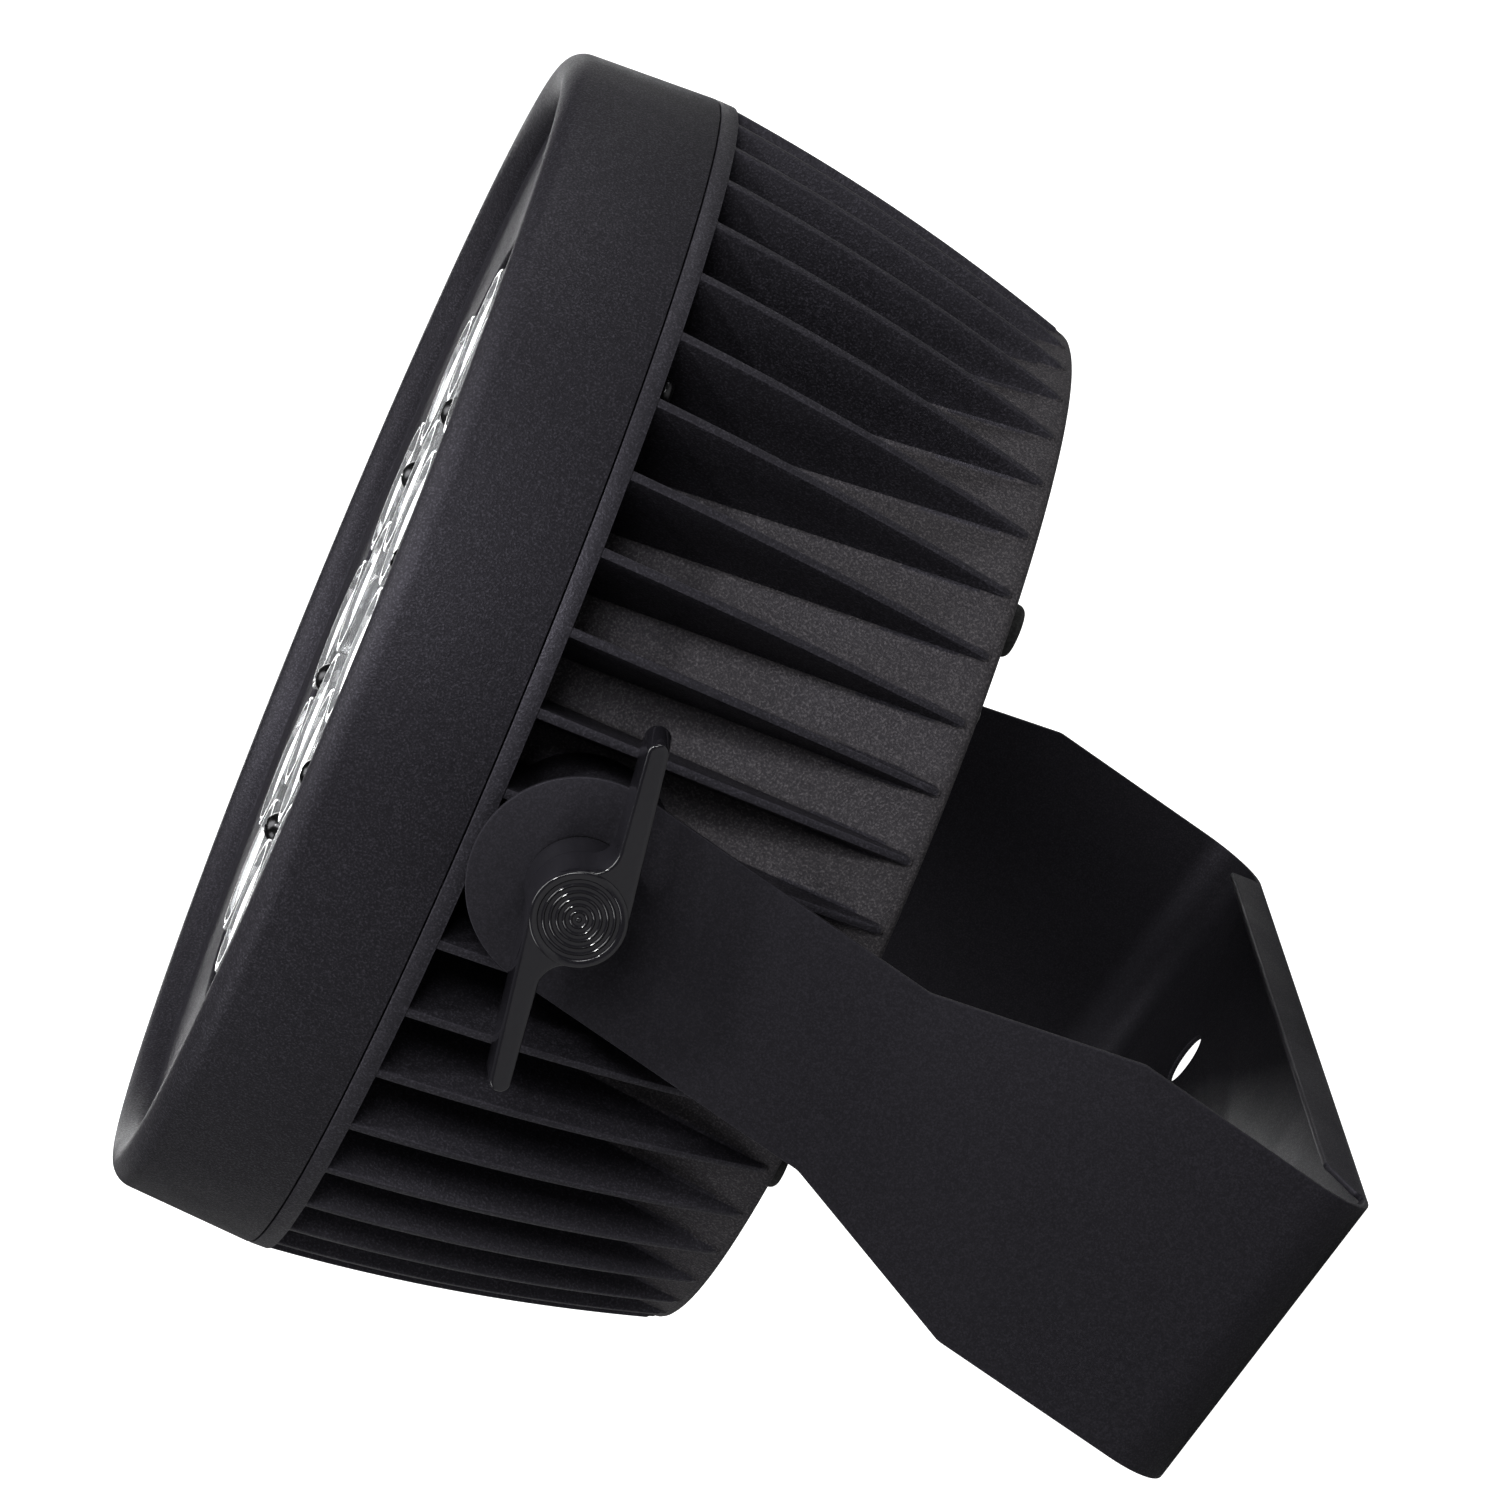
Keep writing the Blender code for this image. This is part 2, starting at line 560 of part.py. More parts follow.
def make_sockets(shell):
    """Data and power sockets, flange outside and cup inside the cover."""
    flange_in = COVER_OUT_Z - GAP
    flange_out = flange_in - 2.0 * MM
    for name, side in (("data_in", -1), ("data_out", 1)):
        socket = add_object(f"{name}_socket", block(26 * MM, 31 * MM, flange_out, flange_in, 2 * MM),
                            "matte_black", shell)
        barrel = add_object(f"{name}_barrel", rod(11.7 * MM, flange_out - 1.2 * MM, -42 * MM, 24), None, shell)
        mouth = add_object(f"{name}_mouth", rod(9.6 * MM, flange_out - 5 * MM, -46 * MM, 24), None, shell)
        boolean(socket, barrel, "UNION")
        boolean(socket, mouth, "DIFFERENCE")
        if side > 0:
            slot = add_object("latch_slot", block(*LATCH_SLOT, flange_out - 5 * MM, -44 * MM), None, shell)
            slot.location = (DATA_X, LATCH_Y, 0)
            boolean(socket, slot, "DIFFERENCE")
        for obj in (socket, barrel, mouth):
            obj.location = (side * DATA_X, DATA_Y, 0)
    latch = block(8.0 * MM, 3.0 * MM, flange_out - 2.4 * MM, flange_in - 0.2 * MM)
    add_object("data_latch", latch, "steel", shell, False).location = (DATA_X, LATCH_Y, 0)

    for name, side in (("power_in", -1), ("power_out", 1)):
        profile = [(9.0 * MM, -46 * MM), (9.0 * MM, flange_out - 1.5 * MM), (11.0 * MM, flange_out - 1.5 * MM),
                   (14.0 * MM, flange_out), (14.0 * MM, flange_in), (12.2 * MM, flange_in),
                   (12.2 * MM, -42 * MM)]
        cup = turned(profile, 20, closed=False)
        socket = add_object(f"{name}_socket", cup, "blue_plastic" if side < 0 else "grey_plastic", shell)
        socket.location = (side * POWER_X, POWER_Y, 0)

    holder = tube(9.5 * MM, 6.4 * MM, flange_out + 0.5 * MM, flange_in, 20)
    add_object("fuse_holder", holder, "matte_black", shell).location = (0, FUSE_Y, 0)
    cap = turned([(5.6 * MM, COVER_IN_Z + 12 * MM), (5.6 * MM, flange_out - GAP),
                  (8.0 * MM, flange_out - GAP), (8.0 * MM, flange_out - 6 * MM),
                  (7.0 * MM, flange_out - 7 * MM)], 20, closed=False)
    add_object("fuse_cap", cap, "matte_black", shell).location = (0, FUSE_Y, 0)


def make_power_supply(shell):
    """Driver tray hung from the front plate, with its board and large parts."""
    tray_z = -22 * MM
    tray = add_object("driver_tray", block(112 * MM, 84 * MM, tray_z, tray_z + 1.5 * MM), "steel", shell, False)
    posts = bmesh.new()
    for x in (-48 * MM, 48 * MM):
        for y in (-34 * MM, 34 * MM):
            merge(posts, rod(3.5 * MM, tray_z + 1.0 * MM, CAVITY_TOP_Z - GAP, 12), at(x, y, 0))
    boolean(tray, add_object("tray_posts", posts, None, shell), "UNION")
    board = block(104 * MM, 76 * MM, tray_z - 2.2 * MM, tray_z - 0.6 * MM)
    add_object("driver_board", board, "green_board", shell, False)
    under = tray_z - 2.2 * MM - GAP
    for name, x, y, size, depth, finish in (
            ("driver_transformer", -24 * MM, 8 * MM, 32 * MM, 14 * MM, "copper"),
            ("driver_choke", 24 * MM, -20 * MM, 20 * MM, 12 * MM, "copper")):
        part = add_object(name, block(size, size * 0.8, under - depth, under), finish, shell, False)
        part.location = (x, y, 0)
    can = rod(8 * MM, under - 15 * MM, under, 16)
    add_object("driver_capacitor", can, "grey_plastic", shell).location = (26 * MM, 18 * MM, 0)


# ---- clamp knobs -----------------------------------------------------------------
def wing_outline():
    """Half of the S-shaped handle: one straight edge runs past the hub's side
    and the other curves back into it."""
    edge = -KNOB_HUB_RADIUS + 0.15 * MM
    inside = (KNOB_HUB_RADIUS * 0.7, 0.0)
    half = WING_TIP_WIDTH / 2
    tip = arc((WING_REACH - half, edge + half), half, -math.pi / 2, math.pi / 2, 6)
    centre_y = edge + WING_ROOT_WIDTH + WING_FILLET
    centre_x = math.sqrt((KNOB_HUB_RADIUS + WING_FILLET) ** 2 - centre_y ** 2)
    meets = math.pi + math.atan2(centre_y, centre_x)
    fillet = arc((centre_x, centre_y), WING_FILLET, 1.5 * math.pi, meets, 4)
    return [(0.0, edge)] + tip + fillet + [inside]


def make_clamps(head):
    """On each side: inner washer, outer washer, threaded stud and wing knob."""
    for side, name in ((-1, "left"), (1, "right")):
        turn = Matrix.Rotation(side * math.pi / 2, 4, "Y")
        inner = ARM_OUTER - SHEET
        pad = tube(WASHER_RADIUS, STUD_HOLE_RADIUS, BOSS_FACE + GAP, inner - GAP, 20)
        pad.transform(turn)
        add_object(f"friction_washer_{name}", pad, "rubber", head)
        washer = tube(CLAMP_WASHER_RADIUS, STUD_HOLE_RADIUS, ARM_OUTER + GAP, ARM_OUTER + 1.5 * MM, 20)
        washer.transform(turn)
        add_object(f"clamp_washer_{name}", washer, "steel", head)
        stud = rod(STUD_RADIUS, BOSS_FACE - 18 * MM, ARM_OUTER + 12 * MM, 16)
        stud.transform(turn)
        add_object(f"clamp_stud_{name}", stud, "steel", head)

        base = ARM_OUTER + 1.8 * MM
        socket = ARM_OUTER + 12.3 * MM
        profile = [(KNOB_FLANGE_RADIUS, base),
                   (KNOB_FLANGE_RADIUS - 1 * MM, base + 3 * MM), (KNOB_HUB_RADIUS, base + 8 * MM),
                   (KNOB_HUB_RADIUS, KNOB_FRONT - 0.6 * MM), (KNOB_HUB_RADIUS - 0.8 * MM, KNOB_FRONT)]
        knob = add_object(f"clamp_knob_{name}", turned(profile, 20, closed=False), "gloss_black", head)
        wing = wing_outline()
        outline = wing + [(-x, -y) for x, y in wing]
        handle = extruded(outline, KNOB_FRONT - 13.5 * MM, KNOB_FRONT - 0.4 * MM)
        bar = add_object(f"knob_bar_{name}", handle, None, head)
        bore = add_object(f"knob_bore_{name}", rod(STUD_RADIUS + GAP, base - MM, socket, 16), None, head)
        boolean(knob, bar, "UNION")
        boolean(knob, bore, "DIFFERENCE")
        # local X of the handle follows the wings: +Y leaned up by WING_ANGLE, in the yoke's frame
        lean = WING_ANGLE - HEAD_TILT
        along = Vector((0, math.cos(lean), math.sin(lean)))
        outward = Vector((side, 0, 0))
        across = outward.cross(along)
        frame = Matrix((along, across, outward)).transposed().to_4x4()
        for obj in (knob, bar, bore):
            obj.matrix_basis = frame


def main():
    clear_scene()
    head = bpy.data.objects.new("head_frame", None)
    bpy.context.scene.collection.objects.link(head)
    head.location = (0, YOKE_Y, PIVOT_HEIGHT)
    head.rotation_euler = (HEAD_TILT, 0, 0)
    shell = bpy.data.objects.new("shell_frame", None)
    bpy.context.scene.collection.objects.link(shell)
    shell.parent = head
    shell.location = (0, BEAM_OFFSET, FRONT_OFFSET)
    make_yoke()
    make_heatsink(head, shell)
    for make in (make_bezel, make_optics, make_rear_cover, make_controls, make_sockets,
                 make_power_supply):
        make(shell)
    make_clamps(head)


main()
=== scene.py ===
"""LED par can on a U yoke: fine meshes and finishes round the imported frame.

Metres, +Z up.  Pieces of the head are modelled in the head's own frame, with
the origin on the tilt axis and +Z along the beam.
"""

import math
import random

import bmesh
import bpy
from mathutils import Matrix, Vector


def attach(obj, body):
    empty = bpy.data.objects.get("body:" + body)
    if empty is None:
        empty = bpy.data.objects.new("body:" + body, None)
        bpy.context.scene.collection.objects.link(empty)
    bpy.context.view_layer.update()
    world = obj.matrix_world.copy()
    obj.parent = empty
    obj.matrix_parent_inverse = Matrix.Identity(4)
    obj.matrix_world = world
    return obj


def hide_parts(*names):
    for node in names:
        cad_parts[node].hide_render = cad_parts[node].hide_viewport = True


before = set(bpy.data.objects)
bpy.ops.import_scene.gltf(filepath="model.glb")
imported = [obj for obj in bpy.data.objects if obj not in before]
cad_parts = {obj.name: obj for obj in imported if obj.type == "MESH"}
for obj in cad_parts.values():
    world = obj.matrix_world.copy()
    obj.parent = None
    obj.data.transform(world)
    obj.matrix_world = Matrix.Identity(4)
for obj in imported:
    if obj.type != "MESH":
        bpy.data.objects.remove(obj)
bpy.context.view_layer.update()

MM = 0.001

# ---- sizes, as in the frame unless a note says otherwise ---------------------------
GAP = 0.3 * MM
PIVOT_HEIGHT = 159.7 * MM
HEAD_TILT = math.radians(12.5)
YOKE_Y = 3.9 * MM
BEAM_OFFSET = 1.9 * MM
FRONT_OFFSET = 0.6 * MM

CREST_Z = 53.6 * MM
SEAM_Z = 22.6 * MM
REAR_Z = -60.8 * MM
# The next two are 0.15 mm less than in the frame, whose circles are faceted.
FRONT_RADIUS = 122.65 * MM
SEAM_RADIUS = 124.05 * MM
REAR_RADIUS = 107.6 * MM
ENVELOPE_BULGE = 2.2 * MM

FIN_COUNT = 48
FIN_PITCH = math.tau / FIN_COUNT
RING_REAR_Z = SEAM_Z - 4.0 * MM
FIN_TOP_FRONT = 2.1 * MM
FIN_TOP_REAR = 1.5 * MM
FIN_ROOT_FRONT = 4.2 * MM
FIN_ROOT_REAR = 2.2 * MM
FLOOR_RADIUS_FRONT = 98.0 * MM
FIN_END_Z = -59.0 * MM
CAVITY_RADIUS = 90.0 * MM
COVER_RADIUS = 96.0 * MM
CAVITY_TOP_Z = 15.0 * MM
LEDGE_Z = -56.0 * MM

LIP_RADIUS = 86.0 * MM
PLATE_RADIUS = 94.0 * MM
PLATE_TOP_Z = CREST_Z - 8.5 * MM
PLATE_LOW_Z = PLATE_TOP_Z - 2.5 * MM
LENS_TOP_Z = 49.0 * MM
LENS_RING = ((6, 30.5 * MM, 0.0), (12, 62.0 * MM, math.radians(15)))
LENS_RADIUS = 14.6 * MM
LENS_SCREW_RING = 46.5 * MM

ARM_OUTER = 128.7 * MM
SHEET = 1.2 * MM
BASE_DEPTH = 66.2 * MM
EYE_RADIUS = 21.1 * MM
NARROW_END = 94.7 * MM
WIDE_START = 53.6 * MM
BEND_RADIUS = 13.5 * MM
FLANGE_HEIGHT = 9.0 * MM
HOLE_RADIUS = 5.8 * MM
SIDE_HOLE_X = 69.0 * MM
STUD_HOLE_RADIUS = 4.6 * MM

STUD_RADIUS = 4.0 * MM
BOSS_FACE = 124.9 * MM
WASHER_RADIUS = 16.0 * MM
CLAMP_WASHER_RADIUS = 10.9 * MM
CLAMP_WASHER_TRIM = 0.8 * MM           # less than in the frame, behind the knob's flange
KNOB_HUB_RADIUS = 9.1 * MM
KNOB_FLANGE_RADIUS = 10.4 * MM
KNOB_FRONT = ARM_OUTER + 22.6 * MM
WING_REACH = 35.2 * MM
WING_ROOT_WIDTH = 4.6 * MM
WING_TIP_WIDTH = 3.9 * MM
WING_FILLET = 5.0 * MM
WING_ANGLE = math.radians(22.5)

DISPLAY_Y = 34.0 * MM
BUTTON_Y = 13.0 * MM
BUTTON_X = (-24.0 * MM, -8.0 * MM, 8.0 * MM, 24.0 * MM)
BUTTON_RADIUS = 4.2 * MM
DATA_X = 20.0 * MM
DATA_Y = -24.0 * MM
LATCH_Y = DATA_Y + 12.4 * MM
LATCH_SLOT = (8.6 * MM, 4.2 * MM)
SOCKET_END_Z = -42 * MM
CONTACT_RING = 4.6 * MM
DATA_CONTACT_Z = -45.8 * MM
POWER_CONTACT_Z = -45.9 * MM
POWER_X = 54.0 * MM
POWER_Y = -14.0 * MM
FUSE_Y = -62.0 * MM
COVER_SCREW_RING = 92.3 * MM
COVER_FLAT_AREA = 200 * MM * MM
FOOT_RING = 88.0 * MM
FOOT_ANGLES = (44.0, 136.0, 216.5, 323.5)
FOOT_HEIGHT = 4.6 * MM
COVER_OUT_Z = -60.6 * MM
COVER_IN_Z = -57.6 * MM
FLANGE_IN_Z = COVER_OUT_Z - GAP
FLANGE_OUT_Z = FLANGE_IN_Z - 2.0 * MM

WORLD = Matrix.Identity(4)
HEAD = Matrix.Translation((0, YOKE_Y, PIVOT_HEIGHT)) @ Matrix.Rotation(HEAD_TILT, 4, "X")
SHELL = HEAD @ Matrix.Translation((0, BEAM_OFFSET, FRONT_OFFSET))
FLIP = Matrix.Rotation(math.pi, 4, "X")


# ---- finishes ---------------------------------------------------------------------
class Nodes:
    """A node tree and short ways to add nodes to it."""

    def __init__(self, tree):
        self.tree = tree

    def node(self, kind, settings=None, **inputs):
        made = self.tree.nodes.new(kind)
        for key, value in (settings or {}).items():
            setattr(made, key, value)
        for key, value in inputs.items():
            socket = made.inputs[int(key[1:]) if key[0] == "_" else key.replace("_", " ")]
            self.feed(socket, value)
        return made

    def feed(self, socket, value):
        """Link an output to a socket, or set the socket to a constant."""
        if isinstance(value, bpy.types.NodeSocket):
            self.tree.links.new(value, socket)
        else:
            socket.default_value = value

    def math(self, operation, a, b=0.0, clamp=False):
        settings = {"operation": operation, "use_clamp": clamp}
        return self.node("ShaderNodeMath", settings, _0=a, _1=b).outputs[0]

    def spread(self, value, low, high, out_low=0.0, out_high=1.0):
        return self.node("ShaderNodeMapRange", {"interpolation_type": "SMOOTHSTEP"}, Value=value,
                         From_Min=low, From_Max=high, To_Min=out_low, To_Max=out_high).outputs[0]


class Finish(Nodes):
    """A Principled material and its texture nodes."""

    def __init__(self, name, roughness, metallic=0.0, **sockets):
        self.material = bpy.data.materials.new(name)
        self.material.use_nodes = True
        super().__init__(self.material.node_tree)
        self.shader = self.tree.nodes["Principled BSDF"]
        self.shader.inputs["Roughness"].default_value = roughness
        self.shader.inputs["Metallic"].default_value = metallic
        for socket, value in sockets.items():
            self.shader.inputs[socket.replace("_", " ")].default_value = value
        self.place = self.node("ShaderNodeTexCoord").outputs["Object"]

    def link(self, output, socket):
        self.tree.links.new(output, self.shader.inputs[socket])

    def noise(self, grain, detail=2.0, roughness=0.5, stretch=None):
        place = self.place
        if stretch:
            place = self.node("ShaderNodeMapping", Vector=place, Scale=stretch).outputs[0]
        return self.node("ShaderNodeTexNoise", Vector=place, Scale=1.0 / grain, Detail=detail,
                         Roughness=roughness).outputs["Fac"]

    def mix(self, factor, a, b):
        return self.node("ShaderNodeMix", {"data_type": "RGBA"}, _0=factor, _6=a, _7=b).outputs[2]

    def bump(self, height, distance):
        return self.node("ShaderNodeBump", Height=height, Distance=distance, Strength=1.0).outputs[0]

    def edges(self, radius):
        """About 1 on edges sharper than the radius and 0 on open faces."""
        soft = self.node("ShaderNodeBevel", {"samples": 4}, Radius=radius).outputs[0]
        flat = self.node("ShaderNodeNewGeometry").outputs["Normal"]
        same = self.node("ShaderNodeVectorMath", {"operation": "DOT_PRODUCT"}, _0=soft,
                         _1=flat).outputs["Value"]
        return self.spread(same, 0.985, 0.80)


def rgb(value, tint=(1.0, 1.0, 1.0)):
    return tuple(value * t for t in tint) + (1.0,)


PATCH_SIZE = 30.0 * MM
GLOSS_SPREAD = 0.10


def coated(name, tone, roughness, grain, depth, tint=(1.0, 1.0, 1.06), painted_glints=0.5, wear_and_painted_highlight=0.35,
           **sockets):
    """Powder coat or moulded plastic: fine grain, painted glint specks, patchy gloss, edges painted lighter
    for rubbed wear and a painted edge highlight.
    """
    f = Finish(name, roughness, **sockets)
    fine = f.noise(grain, 2.0, 0.6)
    coarse = f.noise(grain * 3.2, 2.0)
    patches = f.noise(PATCH_SIZE, 3.0)
    grit = f.math("ADD", f.math("MULTIPLY", fine, 0.7), f.math("MULTIPLY", coarse, 0.3))
    base = f.mix(f.spread(grit, 0.36, 0.64), rgb(tone * 0.55, tint), rgb(tone * 1.45, tint))
    base = f.mix(f.math("MULTIPLY", patches, 0.5), base, rgb(tone, tint))
    # Painted glints: the high points of the finest grain are painted as light specks.
    painted_glint_specks = f.spread(fine, 0.50, 0.74, 0.0, painted_glints)
    base = f.mix(painted_glint_specks, base, rgb(tone * 3.5 + 0.010, tint))
    # Wear and painted highlight: sharp edges are painted lighter, partly rubbed paint and partly a painted
    # highlight along the edges.
    if wear_and_painted_highlight:
        rubbed_and_highlit_edges = f.math("MULTIPLY", f.edges(0.5 * MM), f.spread(patches, 0.35, 0.7, 0.35, 1.0))
        rubbed_and_highlit_edges = f.math("MULTIPLY", rubbed_and_highlit_edges, wear_and_painted_highlight, True)
        base = f.mix(rubbed_and_highlit_edges, base, rgb(tone * 3.0 + 0.03, tint))
    f.link(base, "Base Color")
    gloss = f.spread(patches, 0.3, 0.7, roughness - GLOSS_SPREAD / 2, roughness + GLOSS_SPREAD / 2)
    gloss = f.math("ADD", gloss, f.spread(fine, 0.4, 0.7, 0.07, -0.07), True)
    f.link(gloss, "Roughness")
    f.link(f.bump(grit, depth), "Normal")
    return f.material


def metal(name, colour, roughness, stretch=(1.0, 1.0, 1.0), grain=1.2 * MM, depth=0.02 * MM):
    f = Finish(name, roughness, 1.0)
    lines = f.noise(grain, 4.0, 0.6, stretch)
    haze = f.noise(12.0 * MM, 3.0)
    dark = tuple(c * 0.72 for c in colour) + (1.0,)
    f.link(f.mix(f.spread(haze, 0.3, 0.7), dark, colour + (1.0,)), "Base Color")
    f.link(f.spread(f.math("ADD", f.math("MULTIPLY", lines, 0.6), f.math("MULTIPLY", haze, 0.4)),
                    0.3, 0.7, roughness * 0.7, roughness * 1.4), "Roughness")
    f.link(f.bump(lines, depth), "Normal")
    return f.material


def moulded(name, colour, roughness, grain=0.7 * MM, depth=0.015 * MM, **sockets):
    """Moulded plastic or lacquer with a slight flow pattern."""
    f = Finish(name, roughness, **sockets)
    flow = f.noise(9.0 * MM, 3.0)
    fine = f.noise(grain, 2.0)
    dark = tuple(c * 0.85 for c in colour) + (1.0,)
    light = tuple(min(1.0, c * 1.12 + 0.001) for c in colour) + (1.0,)
    f.link(f.mix(flow, dark, light), "Base Color")
    f.link(f.spread(f.math("ADD", f.math("MULTIPLY", flow, 0.7), f.math("MULTIPLY", fine, 0.3)),
                    0.3, 0.7, max(0.02, roughness - 0.06), roughness + 0.06), "Roughness")
    f.link(f.bump(fine, depth), "Normal")
    return f.material


def clear_plastic(name):
    f = Finish(name, 0.05, IOR=1.49, Transmission_Weight=0.93, Sheen_Weight=0.25, Sheen_Roughness=0.30)
    haze = f.noise(6.0 * MM, 2.0)
    f.link(f.mix(haze, (0.90, 0.92, 0.94, 1.0), (0.98, 0.98, 0.99, 1.0)), "Base Color")
    f.link(f.spread(haze, 0.3, 0.7, 0.02, 0.06), "Roughness")
    return f.material


def board(name, mask, track):
    """Solder mask over copper tracks, which stand up a little."""
    f = Finish(name, 0.35)
    cells = f.node("ShaderNodeTexVoronoi", {"feature": "DISTANCE_TO_EDGE", "distance": "MANHATTAN"},
                   Vector=f.place, Scale=150.0).outputs["Distance"]
    lines = f.spread(cells, 0.05, 0.12)
    f.link(f.mix(lines, track, mask), "Base Color")
    f.link(f.spread(f.noise(5 * MM), 0.3, 0.7, 0.28, 0.45), "Roughness")
    f.link(f.bump(lines, 0.05 * MM), "Normal")
    return f.material


def windings(name):
    """Varnished copper wire wound in close turns."""
    f = Finish(name, 0.35, 0.9)
    waves = f.node("ShaderNodeTexWave", {"bands_direction": "Y"}, Vector=f.place, Scale=400.0,
                   Distortion=0.4).outputs["Fac"]
    f.link(f.mix(waves, (0.25, 0.10, 0.04, 1.0), (0.70, 0.36, 0.18, 1.0)), "Base Color")
    f.link(f.spread(f.noise(4 * MM), 0.3, 0.7, 0.25, 0.5), "Roughness")
    f.link(f.bump(waves, 0.15 * MM), "Normal")
    return f.material


VIOLET = (1.0, 0.95, 1.16)
SHEEN = (0.98, 0.94, 1.12, 1.0)
FINISHES = {
    "bezel": coated("bezel_coat", 0.0085, 0.50, 0.42 * MM, 0.16 * MM, tint=VIOLET, painted_glints=0.75, wear_and_painted_highlight=0.25,
                    Specular_IOR_Level=0.22, Specular_Tint=SHEEN),
    "fins": coated("fin_coat", 0.0105, 0.47, 0.45 * MM, 0.15 * MM, tint=VIOLET, painted_glints=0.7, wear_and_painted_highlight=0.70,
                   Specular_IOR_Level=0.28, Specular_Tint=SHEEN),
    # Painted light in part: the channel floors are a rougher, grainier copy of the fin coat, painted about
    # twice as light for the light that falls into the channels.
    "fin_floor": coated("fin_floor_coat", 0.021, 0.60, 0.45 * MM, 0.20 * MM, tint=(1.08, 1.00, 1.02),
                        painted_glints=0.60, wear_and_painted_highlight=0.0, Specular_IOR_Level=0.30, Specular_Tint=SHEEN),
    "yoke": coated("yoke_coat", 0.0080, 0.50, 0.36 * MM, 0.040 * MM, tint=VIOLET, painted_glints=0.25, wear_and_painted_highlight=0.50,
                   Specular_IOR_Level=0.20, Specular_Tint=SHEEN),
    "cover": coated("cover_coat", 0.015, 0.55, 0.40 * MM, 0.05 * MM, painted_glints=0.25, wear_and_painted_highlight=0.3),
    "knob": moulded("knob_plastic", (0.0080, 0.0076, 0.0096), 0.10),
    "plastic": coated("matte_plastic", 0.018, 0.50, 0.30 * MM, 0.03 * MM, painted_glints=0.15, wear_and_painted_highlight=0.2),
    "rubber": coated("rubber", 0.012, 0.72, 0.60 * MM, 0.03 * MM, tint=(1, 1, 1), painted_glints=0.2, wear_and_painted_highlight=0.0),
    "screw": metal("black_screw", (0.05, 0.05, 0.052), 0.26),
    "steel": metal("zinc_steel", (0.60, 0.60, 0.61), 0.30, (1.0, 1.0, 0.1)),
    "brass": metal("gold_contact", (0.72, 0.52, 0.24), 0.25),
    "lens": clear_plastic("clear_acrylic"),
    "window": moulded("tinted_window", (0.006, 0.006, 0.008), 0.06, depth=0.004 * MM),
    "digit": moulded("unlit_segment", (0.075, 0.030, 0.028), 0.25),
    "blue": coated("blue_plastic", 0.10, 0.40, 0.30 * MM, 0.02 * MM, tint=(0.22, 0.9, 3.3), painted_glints=0.1,
                   wear_and_painted_highlight=0.15),
    "grey": coated("grey_plastic", 0.26, 0.45, 0.30 * MM, 0.02 * MM, tint=(1.0, 1.02, 1.06), painted_glints=0.1,
                   wear_and_painted_highlight=0.15),
    "white_board": board("white_board", (0.74, 0.75, 0.73, 1.0), (0.60, 0.60, 0.57, 1.0)),
    "green_board": board("green_board", (0.015, 0.13, 0.05, 1.0), (0.03, 0.22, 0.09, 1.0)),
    "copper": windings("copper_winding"),
    "ceramic": moulded("chip_ceramic", (0.70, 0.69, 0.66), 0.40),
    "phosphor": moulded("chip_phosphor", (0.78, 0.62, 0.12), 0.30),
}


# ---- mesh helpers -----------------------------------------------------------------
def at(x, y, z=0.0):
    return Matrix.Translation((x, y, z))


def ring_point(radius, angle, z=0.0):
    return radius * math.cos(angle), radius * math.sin(angle), z


def polar(radius, angle, z=0.0):
    return at(*ring_point(radius, angle, z))


def mix(a, b, t):
    return a + (b - a) * t


def as_object(name, bm):
    mesh = bpy.data.meshes.new(name)
    bm.to_mesh(mesh)
    bm.free()
    obj = bpy.data.objects.new(name, mesh)
    bpy.context.scene.collection.objects.link(obj)
    return obj


def piece(name, bm, finish, body, nodes=(), place=SHELL, sharp=32):
    """Make a finished piece that rides on a body and stands for its CAD nodes."""
    bmesh.ops.remove_doubles(bm, verts=bm.verts, dist=1e-7)
    bmesh.ops.recalc_face_normals(bm, faces=bm.faces)
    bm.transform(place)
    obj = as_object(name, bm)
    mesh = obj.data
    for key in [finish] if isinstance(finish, str) else finish:
        mesh.materials.append(FINISHES[key])
    mesh.shade_smooth()
    mesh.set_sharp_from_angle(angle=math.radians(sharp))
    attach(obj, body)
    if nodes:
        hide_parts(*nodes)
    return obj


def boolean(bm, tool, operation="DIFFERENCE"):
    """The solid left when a tool is cut from, or joined to, a solid."""
    for shape in (bm, tool):
        bmesh.ops.recalc_face_normals(shape, faces=shape.faces)
    subject = as_object("subject", bm)
    cutter = as_object("cutter", tool)
    step = subject.modifiers.new("step", "BOOLEAN")
    step.operation = operation
    step.solver = "EXACT"
    step.object = cutter
    bpy.context.view_layer.update()
    made = bmesh.new()
    made.from_mesh(subject.evaluated_get(bpy.context.evaluated_depsgraph_get()).to_mesh())
    for spare in (subject, cutter):
        mesh = spare.data
        bpy.data.objects.remove(spare)
        bpy.data.meshes.remove(mesh)
    return made


def merge(bm, other, place=WORLD, material=None):
    """Add a copy of one mesh to another, moved by a matrix."""
    other.transform(place)
    if material is not None:
        for face in other.faces:
            face.material_index = material
    spare = bpy.data.meshes.new("spare")
    other.to_mesh(spare)
    other.free()
    bm.from_mesh(spare)
    bpy.data.meshes.remove(spare)


